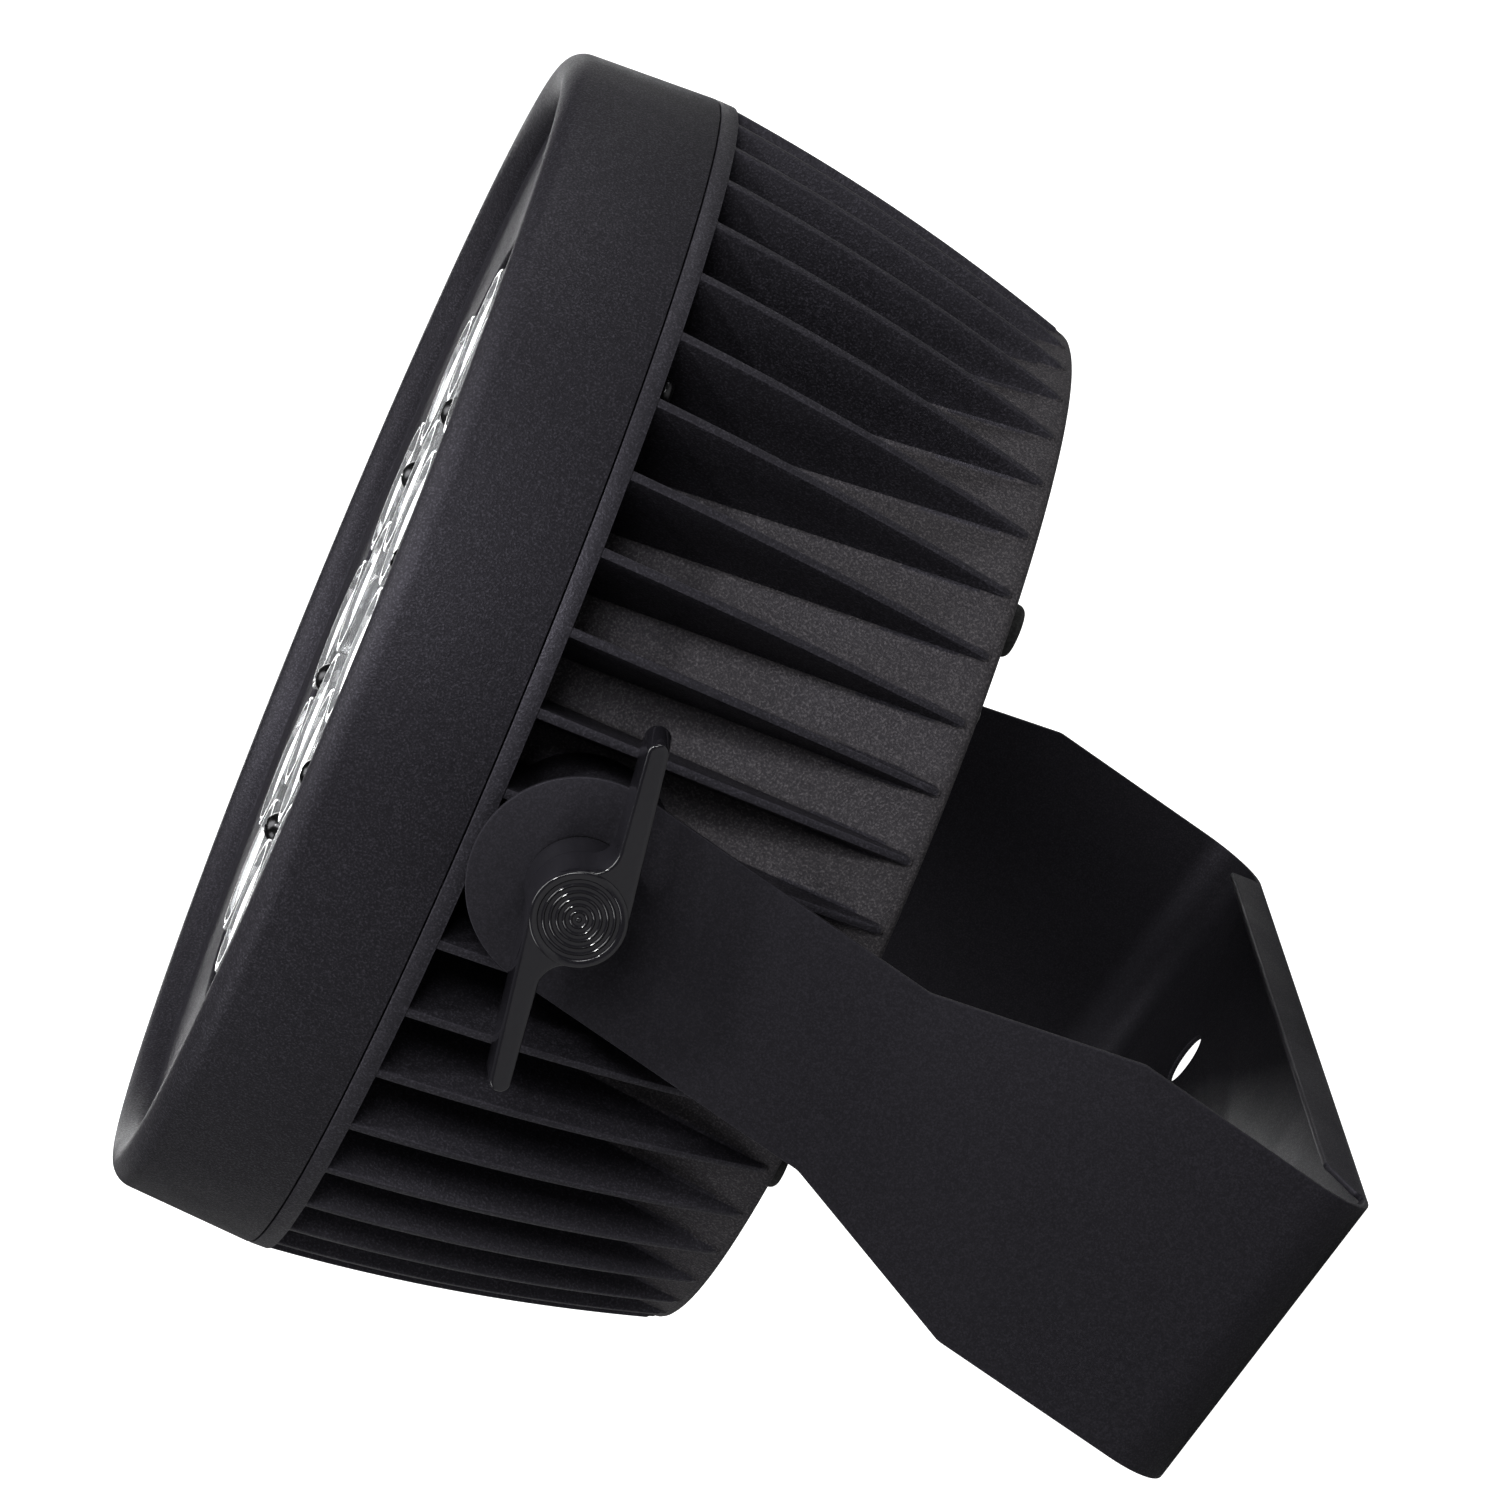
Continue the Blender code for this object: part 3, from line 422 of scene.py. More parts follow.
def soften(points, closed, steps=4):
    """Round the corners of a polyline whose points are (x, y, corner radius)."""
    made = []
    last = len(points) - 1
    for i, (x, y, radius) in enumerate(points):
        corner = Vector((x, y))
        if radius <= 0 or (not closed and i in (0, last)):
            made.append((x, y))
            continue
        before = Vector(points[i - 1][:2]) - corner
        after = Vector(points[(i + 1) % len(points)][:2]) - corner
        half = before.angle(after) / 2
        reach = min(radius / math.tan(half), 0.48 * before.length, 0.48 * after.length)
        middle = before.normalized() + after.normalized()
        centre = corner + middle.normalized() * reach / math.cos(half)
        start = corner + before.normalized() * reach - centre
        stop = corner + after.normalized() * reach - centre
        first = math.atan2(start.y, start.x)
        turn = math.atan2(stop.y, stop.x) - first
        turn = (turn + math.pi) % math.tau - math.pi
        for k in range(steps + 1):
            angle = first + turn * k / steps
            made.append((centre.x + start.length * math.cos(angle),
                         centre.y + start.length * math.sin(angle)))
    return made


def arc(centre, radius, start, stop, steps):
    return [(centre[0] + radius * math.cos(mix(start, stop, i / steps)),
             centre[1] + radius * math.sin(mix(start, stop, i / steps))) for i in range(steps + 1)]


def bridge(bm, lower, upper):
    for i in range(len(lower)):
        j = (i + 1) % len(lower)
        bm.faces.new((lower[i], lower[j], upper[j], upper[i]))


def loft(bm, rows, closed=False):
    """Join rows of points in turn, then cap the ends or join the last row to the first."""
    for lower, upper in zip(rows, rows[1:]):
        bridge(bm, lower, upper)
    if closed:
        bridge(bm, rows[-1], rows[0])
    else:
        bm.faces.new(rows[0])
        bm.faces.new(rows[-1])
    return bm


def ring_verts(bm, radius, z, segments):
    return [bm.verts.new(ring_point(radius, math.tau * i / segments, z)) for i in range(segments)]


def turned(profile, segments, closed=False):
    """Turn (radius, z) points round Z, with flat caps unless the profile is closed."""
    bm = bmesh.new()
    return loft(bm, [ring_verts(bm, radius, z, segments) for radius, z in profile], closed)


def rod(radius, low, high, segments=48, edge=0.0):
    points = [(0.3 * radius, low, 0), (radius, low, edge), (radius, high, edge), (0.3 * radius, high, 0)]
    return turned(soften(points, False), segments)


def tube(outer, inner, low, high, segments=64, edge=0.2 * MM):
    points = [(outer, low, edge), (outer, high, edge), (inner, high, edge), (inner, low, edge)]
    return turned(soften(points, True, 3), segments, closed=True)


def prism(outline, levels):
    """Stack an outline at (z, inset) levels; the inset moves every side inwards."""
    bm = bmesh.new()
    return loft(bm, [[bm.verts.new((x, y, z)) for x, y in shrink(outline, inset)]
                     for z, inset in levels])


def shrink(outline, inset):
    """Move a counter-clockwise outline inwards by a small distance."""
    made = []
    count = len(outline)
    for i, point in enumerate(outline):
        here = Vector(point)
        ahead = (Vector(outline[(i + 1) % count]) - here).normalized()
        back = (here - Vector(outline[i - 1])).normalized()
        inward = Vector((-(ahead.y + back.y), ahead.x + back.x))
        scale = max(0.35, inward.length / 2)
        made.append(tuple(here + inward.normalized() * inset / scale))
    return made


def box_outline(x_size, y_size, corner, steps=5):
    x, y = x_size / 2, y_size / 2
    return soften([(-x, -y, corner), (x, -y, corner), (x, y, corner), (-x, y, corner)], True, steps)


def slab(x_size, y_size, low, high, corner=0.5 * MM, edge=0.3 * MM):
    """A plate with rounded corners and rounded top and bottom edges."""
    return prism(box_outline(x_size, y_size, corner),
                 [(low, edge), (low + 0.3 * edge, 0.3 * edge), (low + edge, 0),
                  (high - edge, 0), (high - 0.3 * edge, 0.3 * edge), (high, edge)])


def bevel_sharp(bm, width, segments, angle):
    """Round off every edge sharper than the angle."""
    bmesh.ops.remove_doubles(bm, verts=bm.verts, dist=2e-6)
    bmesh.ops.dissolve_limit(bm, angle_limit=math.radians(1), verts=bm.verts, edges=bm.edges)
    limit = math.radians(angle)
    sharp = [e for e in bm.edges if len(e.link_faces) == 2 and e.calc_face_angle(0.0) > limit]
    bmesh.ops.bevel(bm, geom=sharp, offset=width, segments=segments, profile=0.5, affect="EDGES",
                    clamp_overlap=True)


# ---- yoke -------------------------------------------------------------------------
def arm_outline():
    """One arm, flat, above the bends, as (y, z) points."""
    side = BASE_DEPTH / 2
    points = soften([(-side, BEND_RADIUS, 0), (-side, WIDE_START, 5 * MM), (-EYE_RADIUS, NARROW_END, 5 * MM),
                     (-EYE_RADIUS, PIVOT_HEIGHT, 0)], False, 5)
    points += arc((0.0, PIVOT_HEIGHT), EYE_RADIUS, math.pi, 0.0, 48)[1:]
    points += [(-y, z) for y, z in reversed(points[:13])][1:]
    return points


def make_yoke():
    steps = 14
    side = BASE_DEPTH / 2
    lines = []
    for reach in (BEND_RADIUS, BEND_RADIUS - SHEET):
        lines.append(arc((-ARM_OUTER + BEND_RADIUS, BEND_RADIUS), reach, math.pi, 1.5 * math.pi, steps)
                     + arc((ARM_OUTER - BEND_RADIUS, BEND_RADIUS), reach, 1.5 * math.pi, math.tau, steps))
    outer, inner = lines
    bm = bmesh.new()
    rows = [[bm.verts.new((x, y, z)) for x, z in line]
            for line, y in ((outer, -side), (outer, side), (inner, side), (inner, -side))]
    for row, following in zip(rows, rows[1:] + rows[:1]):
        for i in range(len(outer) - 1):
            bm.faces.new((row[i], row[i + 1], following[i + 1], following[i]))
    outline = [(y, z) for y, z in arm_outline() if z > BEND_RADIUS + 1e-6]
    for end, sign in ((0, -1), (-1, 1)):
        near = [row[end] for row in rows]
        outside, inside = (
            [first] + [bm.verts.new((sign * reach, y, z)) for y, z in outline] + [last]
            for first, reach, last in ((near[0], ARM_OUTER, near[1]), (near[3], ARM_OUTER - SHEET, near[2])))
        bm.faces.new(outside)
        bm.faces.new(inside)
        for i in range(len(outside) - 1):
            bm.faces.new((outside[i], outside[i + 1], inside[i + 1], inside[i]))

    start = ARM_OUTER - BEND_RADIUS - 2 * MM
    chamfer = 7.0 * MM
    for sign in (-1, 1):
        lip = bmesh.new()
        points = soften([(-start, 0.5 * MM, 0), (start, 0.5 * MM, 0), (start, 2.6 * MM, 0.8 * MM),
                         (start - chamfer, FLANGE_HEIGHT, 2 * MM), (-start + chamfer, FLANGE_HEIGHT, 2 * MM),
                         (-start, 2.6 * MM, 0.8 * MM)], True, 4)
        loft(lip, [[lip.verts.new((x, sign * y, z)) for x, z in points] for y in (side - SHEET, side)])
        bm = boolean(bm, lip, "UNION")
    for x in (-SIDE_HOLE_X, 0.0, SIDE_HOLE_X):
        hole = turned([(HOLE_RADIUS, -5 * MM), (HOLE_RADIUS, 7 * MM)], 48)
        hole.transform(at(x, 0))
        bm = boolean(bm, hole)
    eyes = turned([(STUD_HOLE_RADIUS, -ARM_OUTER - 5 * MM), (STUD_HOLE_RADIUS, ARM_OUTER + 5 * MM)], 48)
    eyes.transform(at(0, 0, PIVOT_HEIGHT) @ Matrix.Rotation(math.pi / 2, 4, "Y"))
    bm = boolean(bm, eyes)
    bevel_sharp(bm, 0.35 * MM, 2, 28)
    piece("yoke_sheet", bm, "yoke", "yoke_frame", ["yoke"], at(0, YOKE_Y))


# ---- head shell -------------------------------------------------------------------
def envelope(z):
    t = (SEAM_Z - z) / (SEAM_Z - REAR_Z)
    return SEAM_RADIUS + (REAR_RADIUS - SEAM_RADIUS) * t + 4 * ENVELOPE_BULGE * t * (1 - t)


def fin_sector(floor, top, top_width, root_width):
    """Half a fin's outline from the channel's middle to the land, as (radius, offset)."""
    height = top - floor
    fillet = min(1.3 * MM, 0.35 * height)
    edge = min(0.45 * MM, 0.35 * height, 0.45 * top_width)
    return [(floor, None),
            (floor, root_width / 2 + fillet),
            (floor + 0.10 * fillet, root_width / 2 + 0.55 * fillet),
            (floor + 0.45 * fillet, root_width / 2 + 0.15 * fillet),
            (floor + fillet, root_width / 2),
            (mix(floor + fillet, top - edge, 0.5), (root_width + top_width) / 4),
            (top - edge, top_width / 2),
            (top - 0.30 * edge, top_width / 2 - 0.30 * edge),
            (top, top_width / 2 - edge)]


def sector_loop(bm, z, side, radius=None):
    """One sector's points for each fin, at their own radii or all at one radius."""
    points = [(r, -(FIN_PITCH / 2 if off is None else off / r)) for r, off in side]
    points += [(r, off / r) for r, off in reversed(side) if off is not None]
    return [bm.verts.new(ring_point(radius or r, (i + 0.5) * FIN_PITCH + angle, z))
            for i in range(FIN_COUNT) for r, angle in points]


def fin_loop(bm, z, floor, top, top_width, root_width):
    return sector_loop(bm, z, fin_sector(floor, top, top_width, root_width))


def plain_loop(bm, z, radius):
    """A circle whose points line up with the fins' points."""
    side = fin_sector(FLOOR_RADIUS_FRONT, SEAM_RADIUS, FIN_TOP_FRONT, FIN_ROOT_FRONT)
    return sector_loop(bm, z, side, radius)


def make_heatsink():
    bm = bmesh.new()
    front = SEAM_Z - GAP
    edge = 0.2 * MM
    loops = [plain_loop(bm, front, SEAM_RADIUS - 8 * MM), plain_loop(bm, front, SEAM_RADIUS - edge),
             plain_loop(bm, front - 0.3 * edge, SEAM_RADIUS - 0.3 * edge),
             plain_loop(bm, front - edge, SEAM_RADIUS),
             plain_loop(bm, RING_REAR_Z + edge, SEAM_RADIUS - 0.1 * MM),
             plain_loop(bm, RING_REAR_Z + 0.3 * edge, SEAM_RADIUS - 0.1 * MM - 0.3 * edge)]
    stations = 34
    tip = 1.6 * MM
    start = RING_REAR_Z - 0.15 * MM
    proud = 0.55 * MM
    floor_end = envelope(FIN_END_Z) - proud
    for k in range(stations + 1):
        t = k / stations
        z = mix(start, FIN_END_Z + tip, t)
        loops.append(fin_loop(bm, z, mix(FLOOR_RADIUS_FRONT, floor_end, t), envelope(z),
                              mix(FIN_TOP_FRONT, FIN_TOP_REAR, t), mix(FIN_ROOT_FRONT, FIN_ROOT_REAR, t)))
    for s in (0.35, 0.65, 0.85, 0.97):
        z = FIN_END_Z + tip * (1 - s)
        left = math.sqrt(1 - s * s)
        loops.append(fin_loop(bm, z, floor_end, floor_end + proud * left * 1.05, FIN_TOP_REAR * left,
                              FIN_ROOT_REAR * left))
    rim = 1.4 * MM
    loops.append(plain_loop(bm, FIN_END_Z, floor_end))
    for angle in (15, 40, 65, 90):
        turn = math.radians(angle)
        loops.append(plain_loop(bm, REAR_Z + rim * (1 - math.sin(turn)),
                                floor_end - rim * (1 - math.cos(turn))))
    for radius, z in ((COVER_RADIUS + GAP, REAR_Z), (COVER_RADIUS + GAP, LEDGE_Z), (CAVITY_RADIUS, LEDGE_Z),
                      (CAVITY_RADIUS, CAVITY_TOP_Z)):
        loops.append(plain_loop(bm, z, radius))
    loft(bm, loops)
    for sign in (-1, 1):
        points = [(4 * MM, 90 * MM, 0), (18.5 * MM, 90 * MM, 0), (17 * MM, BOSS_FACE, 0.8 * MM),
                  (STUD_RADIUS + 1.4 * MM, BOSS_FACE, 0.5 * MM),
                  (STUD_RADIUS + GAP, BOSS_FACE - 1.2 * MM, 0), (STUD_RADIUS + GAP, 100 * MM, 0)]
        across = at(0, -BEAM_OFFSET, -FRONT_OFFSET) @ Matrix.Rotation(sign * math.pi / 2, 4, "Y")
        merge(bm, turned(soften(points, False), 72), across)
    # The channel floors, and all that lies behind the fins, take the second finish, a rougher, grainier copy
    # of the fin coat whose lighter tone is partly painted light on the channel floors.
    for face in bm.faces:
        middle = face.calc_center_median()
        t = (start - middle.z) / (start - FIN_END_Z)
        lift = math.hypot(middle.x, middle.y) - mix(FLOOR_RADIUS_FRONT, floor_end, t)
        if 0.0 < t < 1.0 and abs(lift) < 0.5 * MM or middle.z < FIN_END_Z - 0.01 * MM:
            face.material_index = 1
    piece("finned_housing", bm, ["fins", "fin_floor"], "head", ["heatsink"])


def make_bezel():
    nose = 5.0 * MM
    wall = 3.4 * MM
    inner = FRONT_RADIUS - 2 * nose
    edge = 0.2 * MM
    profile = [(SEAM_RADIUS - edge, SEAM_Z), (SEAM_RADIUS - 0.3 * edge, SEAM_Z + 0.3 * edge),
               (SEAM_RADIUS, SEAM_Z + edge)]
    profile += arc((FRONT_RADIUS - nose, CREST_Z - nose), nose, 0.0, 0.97 * math.pi, 18)
    profile += soften([(inner, CREST_Z - nose, 0), (inner - 0.2 * MM, CREST_Z - 5.2 * MM, 1.2 * MM),
                       (LIP_RADIUS, CREST_Z - 6.2 * MM, 0.6 * MM), (LIP_RADIUS, CREST_Z - 8.2 * MM, 0.4 * MM),
                       (inner - 1 * MM, CREST_Z - 8.2 * MM, 0), (FRONT_RADIUS - wall, CREST_Z - 12 * MM, 0),
                       (SEAM_RADIUS - wall, SEAM_Z + 4 * MM, 0), (109 * MM, SEAM_Z + 2 * MM, 0),
                       (109 * MM, SEAM_Z, 0)], False)[1:]
    piece("bezel_ring", turned(profile, 288, closed=True), "bezel", "head", ["front_bezel"])


# ---- optics -----------------------------------------------------------------------
def lens_places():
    for count, radius, first in LENS_RING:
        for i in range(count):
            yield polar(radius, first + math.tau * i / count)


def lens_drum():
    """One lens: collimator cone behind, rimmed and gently domed face in front."""
    r = LENS_RADIUS
    top = LENS_TOP_Z
    points = [(2.6 * MM, 30.4 * MM, 0), (4.2 * MM, 28.4 * MM, 0.4 * MM), (5.4 * MM, 28.6 * MM, 0.3 * MM),
              (9.4 * MM, 35.0 * MM, 3 * MM), (12.2 * MM, PLATE_LOW_Z, 0), (r, PLATE_TOP_Z - 0.4 * MM, 0),
              (r, top, 0.7 * MM), (r - 1.5 * MM, top, 0.2 * MM), (r - 1.9 * MM, top - 0.9 * MM, 0.2 * MM)]
    profile = soften(points, False, 4)
    for k in range(8):
        t = k / 7
        profile.append((mix(r - 2.2 * MM, 0.4 * MM, t),
                        top - 0.9 * MM + 0.8 * MM * math.sin(t * math.pi / 2)))
    return turned(profile, 64)


def make_optics():
    plate = turned(soften([(PLATE_RADIUS, PLATE_LOW_Z, 0.3 * MM), (PLATE_RADIUS, PLATE_TOP_Z, 0.3 * MM),
                           (1 * MM, PLATE_TOP_Z, 0)], False), 192)
    for place in lens_places():
        merge(plate, lens_drum(), place)
    piece("lens_moulding", plate, "lens", "head", ["lens_plate"], sharp=40)

    low = SEAM_Z + 1.0 * MM
    high = SEAM_Z + 2.6 * MM
    bm = turned(soften([(1 * MM, low, 0), (86 * MM, low, 0.2 * MM), (86 * MM, high, 0.2 * MM),
                        (1 * MM, high, 0)], False), 128)
    for place in lens_places():
        merge(bm, slab(6 * MM, 6 * MM, high - 0.1 * MM, high + 1.1 * MM, 0.6 * MM, 0.15 * MM), place, 1)
        merge(bm, rod(2.3 * MM, high + 1.0 * MM, high + 1.8 * MM, 24, 0.6 * MM), place, 2)
        for turn in range(4):
            pad = place @ Matrix.Rotation(turn * math.pi / 2, 4, "Z") @ at(0, 4.2 * MM)
            merge(bm, slab(2.2 * MM, 1.2 * MM, high - 0.05 * MM, high + 0.15 * MM, 0.1 * MM, 0.05 * MM),
                  pad, 3)
    piece("led_array", bm, ["white_board", "ceramic", "phosphor", "steel"], "head", ["led_board"])


# ---- screws -----------------------------------------------------------------------
def pan_head(radius, height, shank, length):
    """A cross-recess pan head standing on z = 0, with its shank below."""
    profile = [(0.3 * shank, -length), (0.7 * shank, -length), (shank, -length + 0.5 * shank), (shank, 0.0),
               (radius * 0.97, 0.0), (radius, 0.08 * height), (radius, 0.34 * height)]
    for k in range(1, 9):
        turn = k / 8 * math.pi / 2
        profile.append((mix(radius, 0.12 * radius, 1 - math.cos(turn)) if k < 8 else 0.12 * radius,
                        mix(0.34 * height, height, math.sin(turn))))
    head = turned(profile, 40)
    arm = 0.52 * radius
    width = 0.17 * radius
    corners = ((-1, -1), (1, -1), (1, 1), (-1, 1))
    levels = ((0.42 * height, 0.45 * arm, 0.8 * width), (1.2 * height, 1.12 * arm, width))
    for turn in (0, math.pi / 2):
        tool = bmesh.new()
        loft(tool, [[tool.verts.new((sx * x, sy * y, z)) for sx, sy in corners] for z, x, y in levels])
        tool.transform(Matrix.Rotation(turn, 4, "Z"))
        head = boolean(head, tool)
    return head


def screws(prefix, count, ring, first, radius, height, shank, length, z, flip):
    turns = random.Random(prefix)
    for i in range(count):
        angle = first + math.tau * i / count
        bm = pan_head(radius, height, shank, length)
        spin = Matrix.Rotation(turns.uniform(0, math.pi), 4, "Z")
        bm.transform(polar(ring, angle, z) @ (FLIP if flip else WORLD) @ spin)
        name = f"{prefix}_{i + 1}"
        piece(f"{name}_fine", bm, "screw", "head", [name], sharp=35)


def make_screws():
    shank = PLATE_TOP_Z + GAP - (SEAM_Z - 8 * MM)
    screws("lens_screw", 6, LENS_SCREW_RING, math.radians(30), 3.4 * MM, 4.6 * MM, 1.5 * MM, shank,
           PLATE_TOP_Z + GAP, False)
    screws("bezel_screw", 4, 115 * MM, math.radians(45), 3.2 * MM, 2.2 * MM, 1.7 * MM, 10 * MM,
           RING_REAR_Z - GAP - 0.4 * MM, True)
    screws("cover_screw", 6, COVER_SCREW_RING, math.radians(30), 3.0 * MM, 2.0 * MM, 1.5 * MM, 9 * MM,
           COVER_OUT_Z - GAP, True)


# ---- rear of the head -------------------------------------------------------------
def make_rear_cover():
    low = COVER_OUT_Z - 5 * MM
    high = COVER_IN_Z + 5 * MM
    bm = turned([(COVER_RADIUS, COVER_OUT_Z), (COVER_RADIUS, COVER_IN_Z)], 144)
    cuts = [prism(box_outline(52.6 * MM, 20.6 * MM, 1.2 * MM), [(low, 0), (high, 0)])]
    cuts[0].transform(at(0, DISPLAY_Y))
    cuts.append(prism(box_outline(*LATCH_SLOT, 0.6 * MM), [(low, 0), (high, 0)]))
    cuts[1].transform(at(DATA_X, LATCH_Y))
    holes = [(x, BUTTON_Y, BUTTON_RADIUS + GAP) for x in BUTTON_X] + [(0, FUSE_Y, 7.5 * MM)]
    for side in (-1, 1):
        holes += [(side * DATA_X, DATA_Y, 12.0 * MM), (side * POWER_X, POWER_Y, 12.5 * MM)]
    for x, y, radius in holes:
        cut = turned([(radius, low), (radius, high)], 48)
        cut.transform(at(x, y))
        cuts.append(cut)
    for cut in cuts:
        bm = boolean(bm, cut)
    bevel_sharp(bm, 0.3 * MM, 2, 40)
    cover = piece("back_cover", bm, "cover", "head", ["rear_cover"])
    # Smooth shading streaks across the cover's widest faces, so those are flat.
    for polygon in cover.data.polygons:
        if polygon.area > COVER_FLAT_AREA:
            polygon.use_smooth = False

    for i, degrees in enumerate(FOOT_ANGLES):
        angle = math.radians(degrees)
        face = COVER_OUT_Z - GAP
        points = [(2.2 * MM, face - 2.4 * MM, 0), (2.4 * MM, face - 2.4 * MM, 0.1 * MM),
                  (2.6 * MM, face - FOOT_HEIGHT, 0.4 * MM),
                  (5.2 * MM, face - FOOT_HEIGHT + 0.4 * MM, 1.8 * MM),
                  (5.8 * MM, face, 0.3 * MM), (4.5 * MM, face, 0)]
        bm = turned(soften(points, False, 6), 48)
        merge(bm, pan_head(2.1 * MM, 1.2 * MM, 1.0 * MM, 1 * MM), at(0, 0, face - 2.3 * MM) @ FLIP, 1)
        bm.transform(polar(FOOT_RING, angle))
        piece(f"rear_foot_{i + 1}_fine", bm, ["rubber", "screw"], "head", [f"rear_foot_{i + 1}"])


def segment_bars(width, height, stroke, low, high):
    """The seven bars of one digit, centred on the origin."""
    bm = bmesh.new()
    gap = 0.25 * MM
    flat = width - stroke - 2 * gap
    tall = height / 2 - stroke / 2 - 2 * gap
    bars = [(0, y, flat, stroke) for y in (-height / 2, 0, height / 2)]
    bars += [(x, y, stroke, tall) for x in (-width / 2, width / 2) for y in (-height / 4, height / 4)]
    for x, y, x_size, y_size in bars:
        outline = box_outline(x_size, y_size, 0.45 * stroke, 2)
        merge(bm, prism(outline, [(low, 0), (high, 0)]), at(x, y))
    return bm


def make_controls():
    low = COVER_OUT_Z - 0.4 * MM
    bm = slab(52 * MM, 20 * MM, low, COVER_IN_Z, 1.0 * MM, 0.35 * MM)
    for i in range(4):
        digit = segment_bars(5.4 * MM, 10.4 * MM, 1.1 * MM, low - 0.03 * MM, low + 0.5 * MM)
        merge(bm, digit, at((i - 1.5) * 10.2 * MM, 0), 1)
    for i in range(3):
        merge(bm, rod(0.7 * MM, low - 0.03 * MM, low + 0.5 * MM, 16), at((i - 1) * 10.2 * MM, 5.2 * MM), 1)
    bm.transform(at(0, DISPLAY_Y))
    piece("display_glass", bm, ["window", "digit"], "head", ["display_window"])

    face = COVER_OUT_Z - 2.2 * MM
    for i, x in enumerate(BUTTON_X):
        profile = soften([(0.4 * MM, face + 0.35 * MM, 0), (2.2 * MM, face + 0.2 * MM, 1 * MM),
                          (BUTTON_RADIUS - 0.7 * MM, face, 0.5 * MM),
                          (BUTTON_RADIUS, face + 0.5 * MM, 0.5 * MM),
                          (BUTTON_RADIUS, COVER_IN_Z + GAP, 0.1 * MM),
                          (BUTTON_RADIUS + 1.2 * MM, COVER_IN_Z + GAP, 0.1 * MM),
                          (BUTTON_RADIUS + 1.2 * MM, COVER_IN_Z + 1.5 * MM, 0.1 * MM),
                          (2.0 * MM, COVER_IN_Z + 1.5 * MM, 0.1 * MM), (2.0 * MM, COVER_IN_Z + 5.4 * MM, 0)],
                         False, 4)
        bm = turned(profile, 48)
        bm.transform(at(x, BUTTON_Y))
        piece(f"menu_button_{i + 1}_fine", bm, "plastic", f"button_{i + 1}", [f"menu_button_{i + 1}"])


